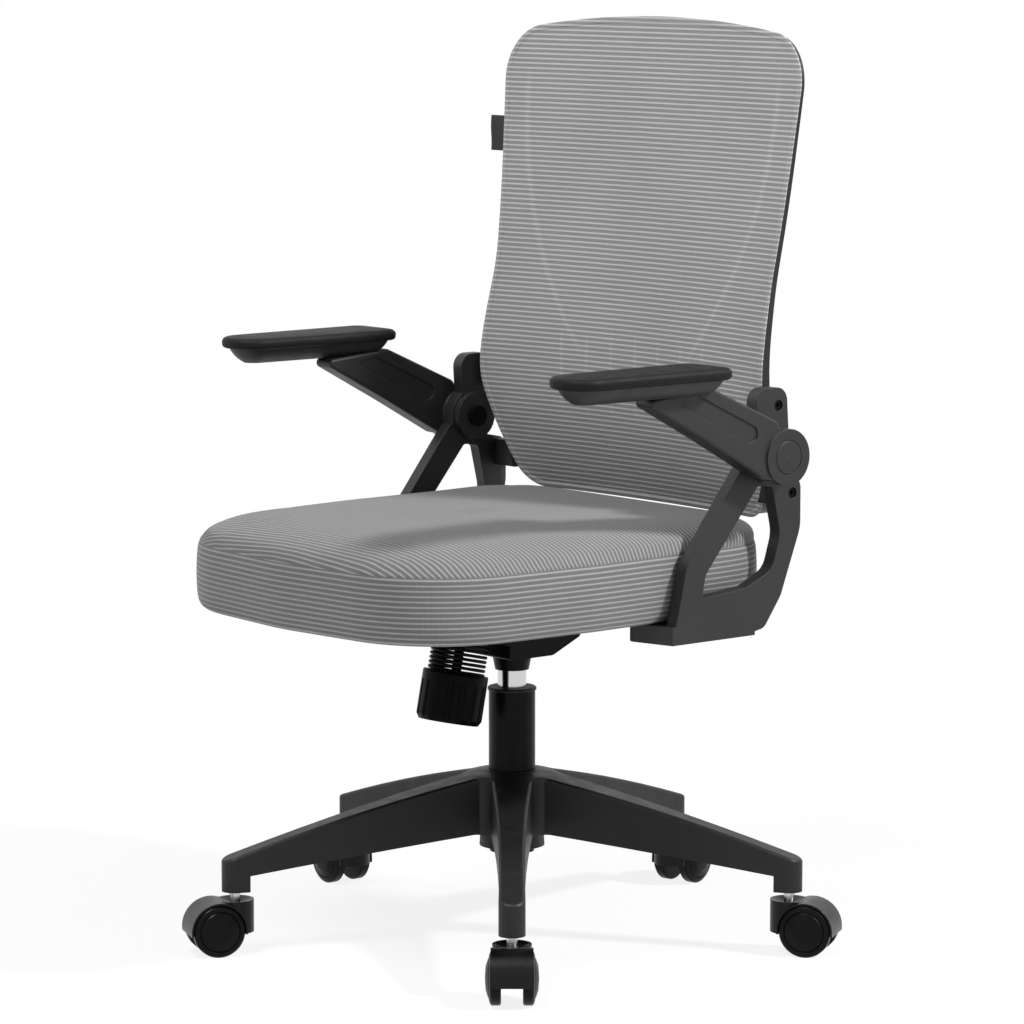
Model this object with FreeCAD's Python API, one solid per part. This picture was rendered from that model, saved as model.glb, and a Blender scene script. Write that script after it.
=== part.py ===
import FreeCAD, Part
import math
import os

# Office chair with a five-leg base, a gas lift, a centre-tilt mechanism and flip-up arms.
# Millimetres. Origin on the floor under the column, +Z up, the sitter faces -Y and has +X on the left.

V = FreeCAD.Vector
UP = V(0, 0, 1)
SIDEWAYS = V(1, 0, 0)

# Clearances
RUN = 0.05
GAP = 0.4
SEAT_FIT = 0.3

# Casters
CASTER_COUNT = 5
WHEEL_RADIUS = 26.0
WHEEL_WIDTH = 15.5
TREAD_WIDTH = 10.5
WEB_WIDTH = 20.0
AXLE_RADIUS = 4.0
AXLE_END = 3.5
STEM_RADIUS = 5.5
STEM_DEPTH = 26.0
STEM_GAP = 8.0
TRAIL = 20.5
HOOD_WIDTH = 41.0
HOOD_WALL = 1.9
HOOD_AIR = 0.8
SKIRT_RISE = 22.0
AXLE_BOSS = 6.5
SWIVEL_RADIUS = 19.0
SWIVEL_RISE = 28.5
DISH_DEPTH = 3.0

# Five-leg base
STAR_RADIUS = 290.0
FIRST_LEG_ANGLE = -40.0
LEG_TIP_HEIGHT = 32.0
LEG_POST_RADIUS = 13.0
LEG_TIP_LIFT = 13.0
LEG_ROOT_LIFT = 17.0
LEG_MID_WIDTH = 31.0
LEG_ROOT_WIDTH = 42.0
LEG_WALL = 4.0
LEG_EDGE = 3.5
LEG_ARCH = 4.0
RIB_COUNT = 5
RIB_THICKNESS = 2.5
HUB_RADIUS = 30.0
HUB_LIFT = 29.0
HUB_HEIGHT = 78.0
WEB_SHARE = 0.345
LEG_START = 38.0

# Gas lift
TUBE_RADIUS = 23.5
TUBE_TAPER = 1.0
TUBE_WALL = 2.0
TUBE_FLOOR = 4.0
TUBE_DROP = 6.0
TUBE_EXPOSED = 81.0
BUSH_LENGTH = 70.0
BUSH_LIP = 1.2
BUSH_LIP_HEIGHT = 3.0
CYLINDER_RADIUS = 14.6
CYLINDER_WALL = 3.6
CYLINDER_LENGTH = 180.0
CYLINDER_CAP = 10.0
CYLINDER_SEAL = 8.0
CYLINDER_TAPER = 0.8
CYLINDER_EXPOSED = 21.0
ROD_RADIUS = 5.0
ROD_TIP_RADIUS = 4.0
PISTON_HEIGHT = 10.0
BEARING_RADIUS = 12.0
BEARING_HEIGHT = 6.0
BUMP_RADIUS = 12.5
BUMP_HEIGHT = 11.0
CLIP_THICKNESS = 1.5
LIFT_STROKE = 85.0
VALVE_RADIUS = 3.0
VALVE_RISE = 5.0

# Tilt mechanism
MECHANISM_HEIGHT = 69.0
CONE_HEIGHT = 16.0
CONE_WALL = 2.6
HOUSING_WIDTH = 76.0
HOUSING_WALL = 2.5
HOUSING_REAR = 58.0
HOUSING_HEEL = 22.0
HEEL_RISE = 16.0
HOUSING_STEP = 34.0
HOUSING_SIDE = 40.0
TONGUE_FRONT = 100.0
PIVOT_Y = 10.0
PIVOT_DROP = 23.0
PIVOT_RADIUS = 5.0
PIVOT_BOSS = 9.0
TILT_DEGREES = 15.0
PLATE_THICKNESS = 4.0
PLATE_WIDTH = 172.0
PLATE_FRONT = 100.0
PLATE_REAR = 105.0
FLANGE_LENGTH = 44.0
FLANGE_THICKNESS = 2.5
BOLT_LEAN = 11.7
BOLT_RADIUS = 5.0
BOLT_Y = 66.0
BOLT_LENGTH = 80.0
SPRING_OUTER = 29.0
SPRING_WIRE = 1.7
SPRING_PITCH = 4.5
SPRING_TURNS = 8
SPRING_PLATE = 2.5
KNOB_RADIUS = 33.0
KNOB_HEIGHT = 50.0
KNOB_RIM = 8.0
KNOB_FLUTES = 16
KNOB_FLUTE_RADIUS = 3.2
KNOB_CHAMFER = 5.0
LEVER_Y = 24.0
LEVER_RADIUS = 5.0
LEVER_REACH = 214.0
LEVER_TAB = 28.0
GRIP_LENGTH = 52.0
GRIP_REACH = 46.0
GRIP_THICKNESS = 11.0
LOCK_TRAVEL = 12.0
LOCK_WIDTH = 8.0
LOCK_HEIGHT = 14.0

# Seat
SEAT_WIDTH = 438.0
SEAT_FRONT = 293.0
SEAT_REAR = 190.0
SEAT_FRONT_CORNER = 112.0
SEAT_REAR_CORNER = 92.0
SEAM_HEIGHT = 67.0
SEAT_CROWN = 26.0
SEAM_INSET = 3.0
CROWN_INSET = 110.0
PAN_THICKNESS = 12.0
PAN_INSET = 20.0
BOLT_HEAD = 4.0
FASTENER_RADIUS = 3.0
FASTENER_HEAD_RADIUS = 6.5

# Arm brackets, heights above the underside of the seat pan
BRACKET_GAP = 1.0
BRACKET_THICKNESS = 14.0
FOOT_REACH = 58.0
FOOT_HEIGHT = 18.0
FOOT_SWEEP = 14.0
KNUCKLE_Y = 131.0
KNUCKLE_HEIGHT = 159.5
KNUCKLE_RADIUS = 28.0
KNUCKLE_BOSS = 6.0
LOBE_RADIUS = 18.0
ARM_PIN_RADIUS = 6.0
ARM_PIN_HEAD = 11.0
ARM_PIN_HEAD_HEIGHT = 4.0

# Flip-up arms
ARM_THICKNESS = 26.0
HUB_THICKNESS = 30.0
ARM_EDGE = 3.0
ARM_GROOVE = 1.6
CAP_RADIUS = 17.0
CAP_HEIGHT = 5.0
PAD_OFFSET = 24.0
PAD_WIDTH = 70.0
PAD_FRONT = 160.0
PAD_REAR = 36.5
PAD_HEIGHT = 244.5
PAD_THICKNESS = 12.0
SUPPORT_DEPTH = 15.0
SUPPORT_INSET = 7.0

# Back, heights above the underside of the seat pan
BACK_BOTTOM = 86.0
BACK_CORNER = 563.0
BACK_APEX = 592.8
BACK_GAP = 2.0
MESH_THICKNESS = 1.4
FRAME_INSET = 2.5
RAIL_WIDTH = 18.0
RIB_INSET = 9.0
RIB_WIDTH = 8.0
RIB_DEPTH = 10.0
STRUT_WIDTH = 14.0
LUMBAR_THICKNESS = 4.0
LUMBAR_SLOT_SHARE = 0.165
LUMBAR_SLOTS = 7
LUMBAR_SLOT_WIDTH = 12.0
SCREW_SETBACK = 8.0
EAR_REACH = 44.0
TAG_WIDTH = 24.0
TAG_OFFSET = 1.0
TAG_HEIGHT = 37.0
TAG_THICKNESS = 1.4

# Heights that follow from the sizes above
CASTER_TOP = WHEEL_RADIUS + SWIVEL_RISE
LEG_BOTTOM = CASTER_TOP + STEM_GAP
HUB_BOTTOM = LEG_BOTTOM + HUB_LIFT
HUB_TOP = HUB_BOTTOM + HUB_HEIGHT
TUBE_TOP = HUB_TOP + TUBE_EXPOSED
TUBE_BOTTOM = HUB_BOTTOM - TUBE_DROP
ROD_SEAT = TUBE_BOTTOM + TUBE_FLOOR + BEARING_HEIGHT
CONE_BOTTOM = TUBE_TOP + CYLINDER_EXPOSED
CONE_TOP = CONE_BOTTOM + CONE_HEIGHT
PAN_BOTTOM = CONE_BOTTOM + MECHANISM_HEIGHT
CYLINDER_TOP = CONE_TOP + CYLINDER_CAP
CYLINDER_BOTTOM = CYLINDER_TOP - CYLINDER_LENGTH
VALVE_TOP = CYLINDER_TOP + VALVE_RISE
PLATE_BOTTOM = PAN_BOTTOM - PLATE_THICKNESS
PIVOT_Z = PAN_BOTTOM - PIVOT_DROP
LEVER_Z = VALVE_TOP + GAP + LEVER_RADIUS
BRACKET_INNER = SEAT_WIDTH / 2 + BRACKET_GAP
BRACKET_OUTER = BRACKET_INNER + BRACKET_THICKNESS
ARM_INNER = BRACKET_OUTER + GAP
ARM_MIDDLE = ARM_INNER + HUB_THICKNESS / 2
PAD_X = BRACKET_OUTER + PAD_OFFSET
BACK_HALF = BRACKET_INNER - BACK_GAP
WEB_REACH = STAR_RADIUS * WEB_SHARE
LEG_TIP = STAR_RADIUS + LEG_POST_RADIUS
KNUCKLE_Z = PAN_BOTTOM + KNUCKLE_HEIGHT
PAD_BOTTOM = PAN_BOTTOM + PAD_HEIGHT

# Side view of the back: height, place of the mesh edge, hollow of the middle, depth of the frame
BACK_CURVE = (
    (70.0, 176.0, 18.0, 20.0),
    (145.0, 147.0, 24.0, 18.0),
    (205.0, 137.0, 26.0, 13.0),
    (300.0, 149.0, 20.0, 8.5),
    (410.0, 168.0, 14.0, 7.0),
    (500.0, 179.0, 10.0, 5.5),
    (600.0, 192.0, 8.0, 5.0),
)
# Front view of the right half of the back: half width, height, corner radius
BACK_OUTLINE = (
    (BACK_HALF - 34, BACK_BOTTOM, 36.0),
    (BACK_HALF, 207.0, 120.0),
    (BACK_HALF - 7, 325.0, 300.0),
    (BACK_HALF + 11, BACK_CORNER, 54.0),
    (0.0, BACK_APEX, 1350.0),
)


def unit(vector):
    return V(vector).normalize()


def rounded(points, radii):
    """Closed wire through the points, with an arc of the given radius at each corner."""
    if not hasattr(radii, "__len__"):
        radii = [radii] * len(points)
    starts = []
    middles = []
    ends = []
    for i, corner in enumerate(points):
        before = unit(points[i - 1] - corner)
        after = unit(points[(i + 1) % len(points)] - corner)
        half = before.getAngle(after) / 2
        reach = radii[i] / math.tan(half)
        bisector = unit(before + after)
        starts.append(corner + before * reach)
        ends.append(corner + after * reach)
        middles.append(corner + bisector * (radii[i] / math.sin(half) - radii[i]))
    edges = []
    for i in range(len(points)):
        if (starts[i] - ends[i - 1]).Length > 1e-6:
            edges.append(Part.LineSegment(ends[i - 1], starts[i]).toShape())
        if radii[i] > 0:
            edges.append(Part.Arc(starts[i], middles[i], ends[i]).toShape())
    return Part.Wire(edges)


def slab(wire, sweep):
    return Part.Face(wire).extrude(sweep)


def box(x0, x1, y0, y1, z0, z1):
    return Part.makeBox(x1 - x0, y1 - y0, z1 - z0, V(x0, y0, z0))


def rod(radius, start, end):
    return Part.makeCylinder(radius, (end - start).Length, start, end - start)


def ring(outer, inner, start, end):
    return rod(outer, start, end).cut(rod(inner, start, end))


def turned(profile, place=V(0, 0, 0), axis=UP):
    """Solid of revolution of (radius, height) points about the axis through place."""
    wire = Part.makePolygon([V(r, 0, z) for r, z in profile] + [V(profile[0][0], 0, profile[0][1])])
    solid = Part.Face(wire).revolve(V(0, 0, 0), UP, 360)
    solid.Placement = FreeCAD.Placement(place, FreeCAD.Rotation(UP, axis))
    return solid


def mirrored(shape):
    return shape.mirror(V(0, 0, 0), SIDEWAYS)


def both_sides(shape):
    return Part.makeCompound([shape, mirrored(shape)])


def side_view(points, x):
    """Points given as (y, height above the seat pan's underside) on the plane of x."""
    return [V(x, y, PAN_BOTTOM + z) for y, z in points]


def caster_places():
    """Placement of each caster: at its leg's tip, trailing outwards."""
    places = []
    for i in range(CASTER_COUNT):
        angle = FIRST_LEG_ANGLE + i * 360.0 / CASTER_COUNT
        turn = FreeCAD.Rotation(UP, angle)
        places.append(FreeCAD.Placement(turn.multVec(V(STAR_RADIUS, 0, 0)), turn))
    return places


def caster_hood():
    """Fender over both wheels with a round swivel post and a web that holds the axle."""
    centre = V(TRAIL, 0, WHEEL_RADIUS)
    inner = WHEEL_RADIUS + HOOD_AIR
    half = HOOD_WIDTH / 2
    web = WEB_WIDTH / 2
    hood = rod(inner + HOOD_WALL, centre - V(0, half, 0), centre + V(0, half, 0))
    hood = hood.fuse(rod(SWIVEL_RADIUS, V(0, 0, SKIRT_RISE - 1), V(0, 0, CASTER_TOP)))
    for side in (-1, 1):
        hood = hood.cut(rod(inner, centre + V(0, side * web, 0), centre + V(0, side * (half + 1), 0)))
    reach = TRAIL + inner + SWIVEL_RADIUS
    hood = hood.cut(box(-reach, reach * 2, -half - 1, half + 1, -inner, SKIRT_RISE))
    hood = hood.fuse(rod(AXLE_BOSS, centre - V(0, web, 0), centre + V(0, web, 0)))
    dish = Part.makeCone(STEM_RADIUS + 2, SWIVEL_RADIUS - 2.5, DISH_DEPTH, V(0, 0, CASTER_TOP - DISH_DEPTH))
    hood = hood.cut(dish)
    hood = hood.cut(rod(STEM_RADIUS, V(0, 0, WHEEL_RADIUS + 8), V(0, 0, CASTER_TOP + 1)))
    return hood.cut(rod(AXLE_RADIUS, centre - V(0, half, 0), centre + V(0, half, 0)))


def caster_pins():
    centre = V(TRAIL, 0, WHEEL_RADIUS)
    reach = WEB_WIDTH / 2 + GAP + WHEEL_WIDTH - AXLE_END
    stem = rod(STEM_RADIUS, V(0, 0, WHEEL_RADIUS + 8), V(0, 0, LEG_BOTTOM + STEM_DEPTH))
    axle = rod(AXLE_RADIUS, centre - V(0, reach, 0), centre + V(0, reach, 0))
    return Part.makeCompound([stem, axle])


def caster_wheel(side):
    start = WEB_WIDTH / 2 + GAP
    bore = AXLE_RADIUS + RUN
    face = start + WHEEL_WIDTH
    blind = face - AXLE_END + GAP
    shoulder = start + TREAD_WIDTH
    profile = (
        (bore, start),
        (WHEEL_RADIUS - 1.5, start),
        (WHEEL_RADIUS, start + 1.5),
        (WHEEL_RADIUS, shoulder - 1.5),
        (WHEEL_RADIUS - 1.5, shoulder),
        (WHEEL_RADIUS * 0.80, shoulder + 1.2),
        (WHEEL_RADIUS * 0.77, shoulder + 0.4),
        (WHEEL_RADIUS * 0.72, shoulder + 1.8),
        (WHEEL_RADIUS * 0.45, face - 0.8),
        (0, face),
        (0, blind),
        (bore, blind),
    )
    return turned(profile, V(TRAIL, 0, WHEEL_RADIUS), V(0, side, 0))


def leg_low(radius):
    """Height of a leg's underside at a distance from the column."""
    share = (radius - LEG_START) / (LEG_TIP - LEG_START)
    return (HUB_BOTTOM + LEG_ROOT_LIFT) * (1 - share) + (LEG_BOTTOM + LEG_TIP_LIFT) * share


def leg_high(radius):
    """Height of a leg's slightly arched top at a distance from the column."""
    share = (radius - HUB_RADIUS) / (LEG_TIP - HUB_RADIUS)
    arch = LEG_ARCH * 4 * share * (1 - share)
    return (HUB_TOP - 2) * (1 - share) + (LEG_BOTTOM + LEG_TIP_HEIGHT) * share + arch


def leg_plan(start, end, wall):
    """Plan of a leg as an upright prism: it narrows along an arc to the round post at its tip."""
    middle = STAR_RADIUS * 0.42
    root = LEG_ROOT_WIDTH / 2 - wall
    waist = LEG_MID_WIDTH / 2 - wall
    post = LEG_POST_RADIUS - wall
    right = Part.Arc(V(start, -root, 0), V(middle, -waist, 0), V(end, -post, 0)).toShape()
    nose = Part.Arc(V(end, -post, 0), V(end + post, 0, 0), V(end, post, 0)).toShape()
    left = Part.Arc(V(end, post, 0), V(middle, waist, 0), V(start, root, 0)).toShape()
    close = Part.LineSegment(V(start, root, 0), V(start, -root, 0)).toShape()
    return slab(Part.Wire([right, nose, left, close]), V(0, 0, HUB_TOP + 50))


def leg_side(start, end, wall, foot):
    """Side view of a leg as a prism across it, with the foot points between its underside and its tip."""
    middle = (start + end) / 2
    top = [V(r, -LEG_ROOT_WIDTH, leg_high(r) - wall) for r in (end, middle, start)]
    points = [top[2], V(start, -LEG_ROOT_WIDTH, foot[0][1])]
    points += [V(r, -LEG_ROOT_WIDTH, z) for r, z in foot[1:]] + [top[0]]
    edges = [Part.LineSegment(p, q).toShape() for p, q in zip(points, points[1:])]
    edges.append(Part.Arc(*top).toShape())
    return slab(Part.Wire(edges), V(0, LEG_ROOT_WIDTH * 2, 0))


def star_leg():
    """Hollow leg with ribs underneath, rounded top edges and a post for the caster stem."""
    heel = STAR_RADIUS - LEG_POST_RADIUS
    foot = [(LEG_START, leg_low(LEG_START)), (heel, leg_low(heel)), (heel, LEG_BOTTOM), (LEG_TIP, LEG_BOTTOM)]
    leg = leg_plan(LEG_START, STAR_RADIUS, 0).common(leg_side(LEG_START, LEG_TIP, 0, foot)).Solids[0]
    broad = [face for face in leg.Faces if face.BoundBox.YLength > LEG_POST_RADIUS and face.BoundBox.XLength > 100]
    crest = max(broad, key=lambda face: face.CenterOfMass.z)
    edges = [e for e in crest.Edges if e.CenterOfMass.x > LEG_START + 1]
    leg = leg.makeFillet(LEG_EDGE, edges)
    start = LEG_START + LEG_WALL * 2
    end = heel - LEG_WALL
    below = [(start, LEG_BOTTOM), (end, LEG_BOTTOM)]
    nose = LEG_POST_RADIUS - LEG_WALL
    pocket = leg_plan(start, end - nose, LEG_WALL).common(leg_side(start, end, LEG_WALL, below))
    step = (end - start) / (RIB_COUNT + 1)
    for i in range(RIB_COUNT):
        x = start + step * (i + 1)
        pocket = pocket.cut(box(x, x + RIB_THICKNESS, -LEG_ROOT_WIDTH, LEG_ROOT_WIDTH, 0, HUB_TOP))
    bore = rod(STEM_RADIUS + RUN, V(STAR_RADIUS, 0, 0), V(STAR_RADIUS, 0, LEG_BOTTOM + STEM_DEPTH + GAP))
    return leg.cut(pocket).cut(bore)


def hub_web():
    """Star-shaped web that runs from leg to leg around the column, with hollow corners."""
    points = []
    radii = []
    for i in range(CASTER_COUNT):
        angle = math.radians(FIRST_LEG_ANGLE + i * 360.0 / CASTER_COUNT)
        along = V(math.cos(angle), math.sin(angle), 0)
        across = V(-along.y, along.x, 0) * (LEG_MID_WIDTH / 2 - 1)
        between = angle + math.pi / CASTER_COUNT
        points += [along * WEB_REACH - across, along * WEB_REACH + across]
        points += [V(math.cos(between), math.sin(between), 0) * (HUB_RADIUS + 1)]
        radii += [1.0, 1.0, 22.0]
    star = slab(rounded([p + V(0, 0, HUB_BOTTOM) for p in points], radii), V(0, 0, HUB_HEIGHT))
    low_far = leg_low(WEB_REACH)
    low_near = leg_low(LEG_START)
    cone = turned((
        (0, low_near - 1), (LEG_START, low_near - 1), (WEB_REACH + 9, low_far + LEG_WALL),
        (WEB_REACH + 9, leg_high(WEB_REACH) - 5), (LEG_START + 4, leg_high(LEG_START) + 0.5),
        (HUB_RADIUS - 4, HUB_TOP - 0.5), (0, HUB_TOP - 0.5),
    ))
    return star.common(cone)


def taper_radius(z):
    """Outer radius of the stand tube where it tapers into the hub."""
    share = (HUB_TOP - z) / (HUB_TOP - TUBE_BOTTOM)
    return TUBE_RADIUS - TUBE_TAPER * max(share, 0)


def star_base():
    leg = star_leg()
    hub = turned((
        (0, HUB_BOTTOM), (HUB_RADIUS + 3, HUB_BOTTOM), (HUB_RADIUS, HUB_TOP - 3),
        (HUB_RADIUS - 2, HUB_TOP), (0, HUB_TOP),
    ))
    star = hub.fuse(hub_web())
    for place in caster_places():
        copy = leg.copy()
        copy.Placement = FreeCAD.Placement(V(0, 0, 0), place.Rotation)
        star = star.fuse(copy)
    bore = turned((
        (0, HUB_BOTTOM - 1), (taper_radius(HUB_BOTTOM - 1), HUB_BOTTOM - 1),
        (TUBE_RADIUS, HUB_TOP), (TUBE_RADIUS, HUB_TOP + 5), (0, HUB_TOP + 5),
    ))
    return star.cut(bore).removeSplitter()


def stand_tube():
    inner = TUBE_RADIUS - TUBE_WALL
    tip = ROD_TIP_RADIUS + RUN
    floor = TUBE_BOTTOM + TUBE_FLOOR
    low_inner = inner - TUBE_TAPER
    return turned((
        (tip, TUBE_BOTTOM), (taper_radius(TUBE_BOTTOM), TUBE_BOTTOM), (TUBE_RADIUS, HUB_TOP),
        (TUBE_RADIUS, TUBE_TOP), (inner, TUBE_TOP), (inner, HUB_TOP), (low_inner, floor), (tip, floor),
    ))


def guide_bush():
    inner = CYLINDER_RADIUS + RUN
    outer = TUBE_RADIUS - TUBE_WALL
    lip = TUBE_RADIUS + BUSH_LIP
    top = TUBE_TOP + BUSH_LIP_HEIGHT
    return turned((
        (inner, TUBE_TOP - BUSH_LENGTH), (outer, TUBE_TOP - BUSH_LENGTH), (outer, TUBE_TOP),
        (lip, TUBE_TOP), (lip, top - 1), (lip - 1, top), (inner, top),
    ))


def thrust_bearing():
    floor = TUBE_BOTTOM + TUBE_FLOOR
    washer = 2.0
    inner = ROD_TIP_RADIUS + RUN
    lower = ring(BEARING_RADIUS, inner, V(0, 0, floor), V(0, 0, floor + washer))
    ball_radius = (BEARING_HEIGHT - 2 * washer) / 2
    track = (BEARING_RADIUS + inner) / 2
    cage = ring(track + ball_radius, track - ball_radius, V(0, 0, floor + washer), V(0, 0, ROD_SEAT - washer))
    upper = ring(BEARING_RADIUS, inner, V(0, 0, ROD_SEAT - washer), V(0, 0, ROD_SEAT))
    return lower.fuse(cage).fuse(upper)


def retaining_clip():
    return turned((
        (ROD_TIP_RADIUS + RUN, TUBE_BOTTOM - CLIP_THICKNESS), (ROD_TIP_RADIUS * 2, TUBE_BOTTOM - CLIP_THICKNESS),
        (ROD_TIP_RADIUS * 2, TUBE_BOTTOM), (ROD_TIP_RADIUS + RUN, TUBE_BOTTOM),
    ))


def piston_rod():
    head = CYLINDER_BOTTOM + CYLINDER_SEAL + LIFT_STROKE + GAP
    bore = CYLINDER_RADIUS - CYLINDER_WALL - RUN
    foot = TUBE_BOTTOM - CLIP_THICKNESS
    return turned((
        (0, foot - 2), (ROD_TIP_RADIUS + 1.5, foot - 2), (ROD_TIP_RADIUS + 1.5, foot - SEAT_FIT),
        (ROD_TIP_RADIUS, foot - SEAT_FIT), (ROD_TIP_RADIUS, ROD_SEAT + SEAT_FIT), (ROD_RADIUS, ROD_SEAT + SEAT_FIT),
        (ROD_RADIUS, head), (bore, head), (bore, head + PISTON_HEIGHT), (0, head + PISTON_HEIGHT),
    ))


def bump_stop():
    start = ROD_SEAT + SEAT_FIT
    return turned((
        (ROD_RADIUS, start), (BUMP_RADIUS - 2, start), (BUMP_RADIUS, start + BUMP_HEIGHT / 2),
        (BUMP_RADIUS - 2, start + BUMP_HEIGHT), (ROD_RADIUS, start + BUMP_HEIGHT),
    ))


def gas_cylinder():
    bore = CYLINDER_RADIUS - CYLINDER_WALL
    seal = ROD_RADIUS + RUN
    stem = VALVE_RADIUS + RUN
    tip = CYLINDER_RADIUS - CYLINDER_TAPER
    return turned((
        (seal, CYLINDER_BOTTOM), (CYLINDER_RADIUS, CYLINDER_BOTTOM), (CYLINDER_RADIUS, CONE_BOTTOM - 2),
        (tip, CYLINDER_TOP), (stem, CYLINDER_TOP), (stem, CYLINDER_TOP - CYLINDER_CAP),
        (bore, CYLINDER_TOP - CYLINDER_CAP), (bore, CYLINDER_BOTTOM + CYLINDER_SEAL),
        (seal, CYLINDER_BOTTOM + CYLINDER_SEAL),
    ))


def cylinder_radius(z):
    share = (z - CONE_BOTTOM + 2) / (CYLINDER_TOP - CONE_BOTTOM + 2)
    return CYLINDER_RADIUS - CYLINDER_TAPER * share


def valve_pin():
    return rod(VALVE_RADIUS, V(0, 0, CYLINDER_TOP - CYLINDER_CAP + 1), V(0, 0, VALVE_TOP))


def cone_socket():
    low = cylinder_radius(CONE_BOTTOM)
    high = cylinder_radius(CONE_TOP)
    return turned((
        (low, CONE_BOTTOM), (low + CONE_WALL, CONE_BOTTOM), (high + CONE_WALL + 3, CONE_TOP - 3),
        (high + CONE_WALL + 3, CONE_TOP), (high, CONE_TOP),
    ))


def bolt_axis():
    """Point where the tension bolt meets the tongue's underside, and the way down along the bolt."""
    lean = math.radians(BOLT_LEAN)
    return V(0, -BOLT_Y, PIVOT_Z - 8), V(0, -math.sin(lean), -math.cos(lean))


def mechanism_housing():
    """Pressed channel with a flat floor on the cone and a rising tongue that the spring pushes against."""
    half = HOUSING_WIDTH / 2
    wall = HOUSING_WALL
    place, down = bolt_axis()
    rise = V(0, -down.z, down.y)
    back = place + rise * ((BOLT_Y - HOUSING_STEP) / rise.y)
    front = place - rise * ((TONGUE_FRONT - BOLT_Y) / rise.y)
    floor = CONE_TOP
    side_top = CONE_TOP + HOUSING_SIDE
    rear_top = side_top - (HOUSING_REAR - PIVOT_Y) * math.tan(math.radians(TILT_DEGREES)) - 2
    outline = [
        V(-half, HOUSING_REAR, floor + HEEL_RISE), V(-half, HOUSING_REAR, rear_top), V(-half, PIVOT_Y, side_top),
        V(-half, -HOUSING_STEP, side_top), V(-half, front.y, front.z + 8), V(-half, front.y, front.z),
        V(-half, back.y, back.z), V(-half, -HOUSING_STEP, floor), V(-half, HOUSING_HEEL, floor),
    ]
    body = slab(rounded(outline, [3, 3, 12, 12, 3, 2, 1, 3, 12]), V(half * 2, 0, 0))
    ahead = 9.0
    hollow = [
        V(wall - half, HOUSING_HEEL, floor + wall), V(wall - half, HOUSING_REAR - wall, floor + HEEL_RISE + wall),
        V(wall - half, HOUSING_REAR - wall, side_top + ahead),
        V(wall - half, front.y - ahead, side_top + ahead),
        V(wall - half, front.y - ahead, front.z + wall + ahead * rise.z / rise.y),
        V(wall - half, back.y - wall, back.z + wall), V(wall - half, wall - HOUSING_STEP, back.z + wall),
        V(wall - half, wall - HOUSING_STEP, floor + wall),
    ]
    body = body.cut(slab(Part.makePolygon(hollow + hollow[:1]), V(half * 2 - wall * 2, 0, 0)))
    slot_reach = 15.0
    slot_half = BOLT_RADIUS + 1.2
    along = rise * -1
    slot = [
        place + along * slot_reach + V(slot_half, 0, 0), place + along * slot_reach - V(slot_half, 0, 0),
        place - along * slot_half - V(slot_half, 0, 0), place - along * slot_half + V(slot_half, 0, 0),
    ]
    body = body.cut(slab(rounded([p + down * 4 for p in slot], 4.0), down * -20))
    body = body.cut(rod(PIVOT_RADIUS, V(-half - 1, PIVOT_Y, PIVOT_Z), V(half + 1, PIVOT_Y, PIVOT_Z)))
    body = body.cut(rod(LEVER_RADIUS + RUN, V(-half - 1, -LEVER_Y, LEVER_Z), V(0, -LEVER_Y, LEVER_Z)))
    return body.cut(rod(cylinder_radius(CONE_TOP), V(0, 0, floor - 1), V(0, 0, floor + wall + 1)))


def pivot_axle():
    reach = HOUSING_WIDTH / 2 + GAP + FLANGE_THICKNESS + 3
    shaft = rod(PIVOT_RADIUS, V(-reach, PIVOT_Y, PIVOT_Z), V(reach, PIVOT_Y, PIVOT_Z))
    clip_start = HOUSING_WIDTH / 2 + GAP * 2 + FLANGE_THICKNESS
    clip = rod(PIVOT_RADIUS + 3, V(clip_start, PIVOT_Y, PIVOT_Z), V(clip_start + 1.5, PIVOT_Y, PIVOT_Z))
    return shaft.fuse(clip).fuse(mirrored(clip))


def seat_plate():
    """Flat steel plate under the pan with two flanges that hang on the pivot axle."""
    half = PLATE_WIDTH / 2
    corners = [
        V(-half, -PLATE_FRONT, PLATE_BOTTOM), V(half, -PLATE_FRONT, PLATE_BOTTOM),
        V(half, PLATE_REAR, PLATE_BOTTOM), V(-half, PLATE_REAR, PLATE_BOTTOM),
    ]
    plate = slab(rounded(corners, 18.0), V(0, 0, PLATE_THICKNESS))
    start = HOUSING_WIDTH / 2 + GAP
    flange_half = FLANGE_LENGTH / 2
    flange = [
        V(start, PIVOT_Y - flange_half, PLATE_BOTTOM), V(start, PIVOT_Y + flange_half, PLATE_BOTTOM),
        V(start, PIVOT_Y + PIVOT_BOSS, PIVOT_Z - PIVOT_BOSS), V(start, PIVOT_Y - PIVOT_BOSS, PIVOT_Z - PIVOT_BOSS),
    ]
    flange = slab(rounded(flange, [0, 0, 7.0, 7.0]), V(FLANGE_THICKNESS, 0, 0))
    plate = plate.multiFuse([flange, mirrored(flange)])
    reach = start + FLANGE_THICKNESS + 1
    plate = plate.cut(rod(PIVOT_RADIUS + RUN, V(-reach, PIVOT_Y, PIVOT_Z), V(reach, PIVOT_Y, PIVOT_Z)))
    for x, y in seat_bolt_places():
        plate = plate.cut(rod(FASTENER_RADIUS, V(x, y, PLATE_BOTTOM - 1), V(x, y, PAN_BOTTOM + 1)))
    return plate


def seat_bolt_places():
    x = PLATE_WIDTH / 2 - 17
    return [(-x, 20 - PLATE_FRONT), (x, 20 - PLATE_FRONT), (-x, PLATE_REAR - 20), (x, PLATE_REAR - 20)]


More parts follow.
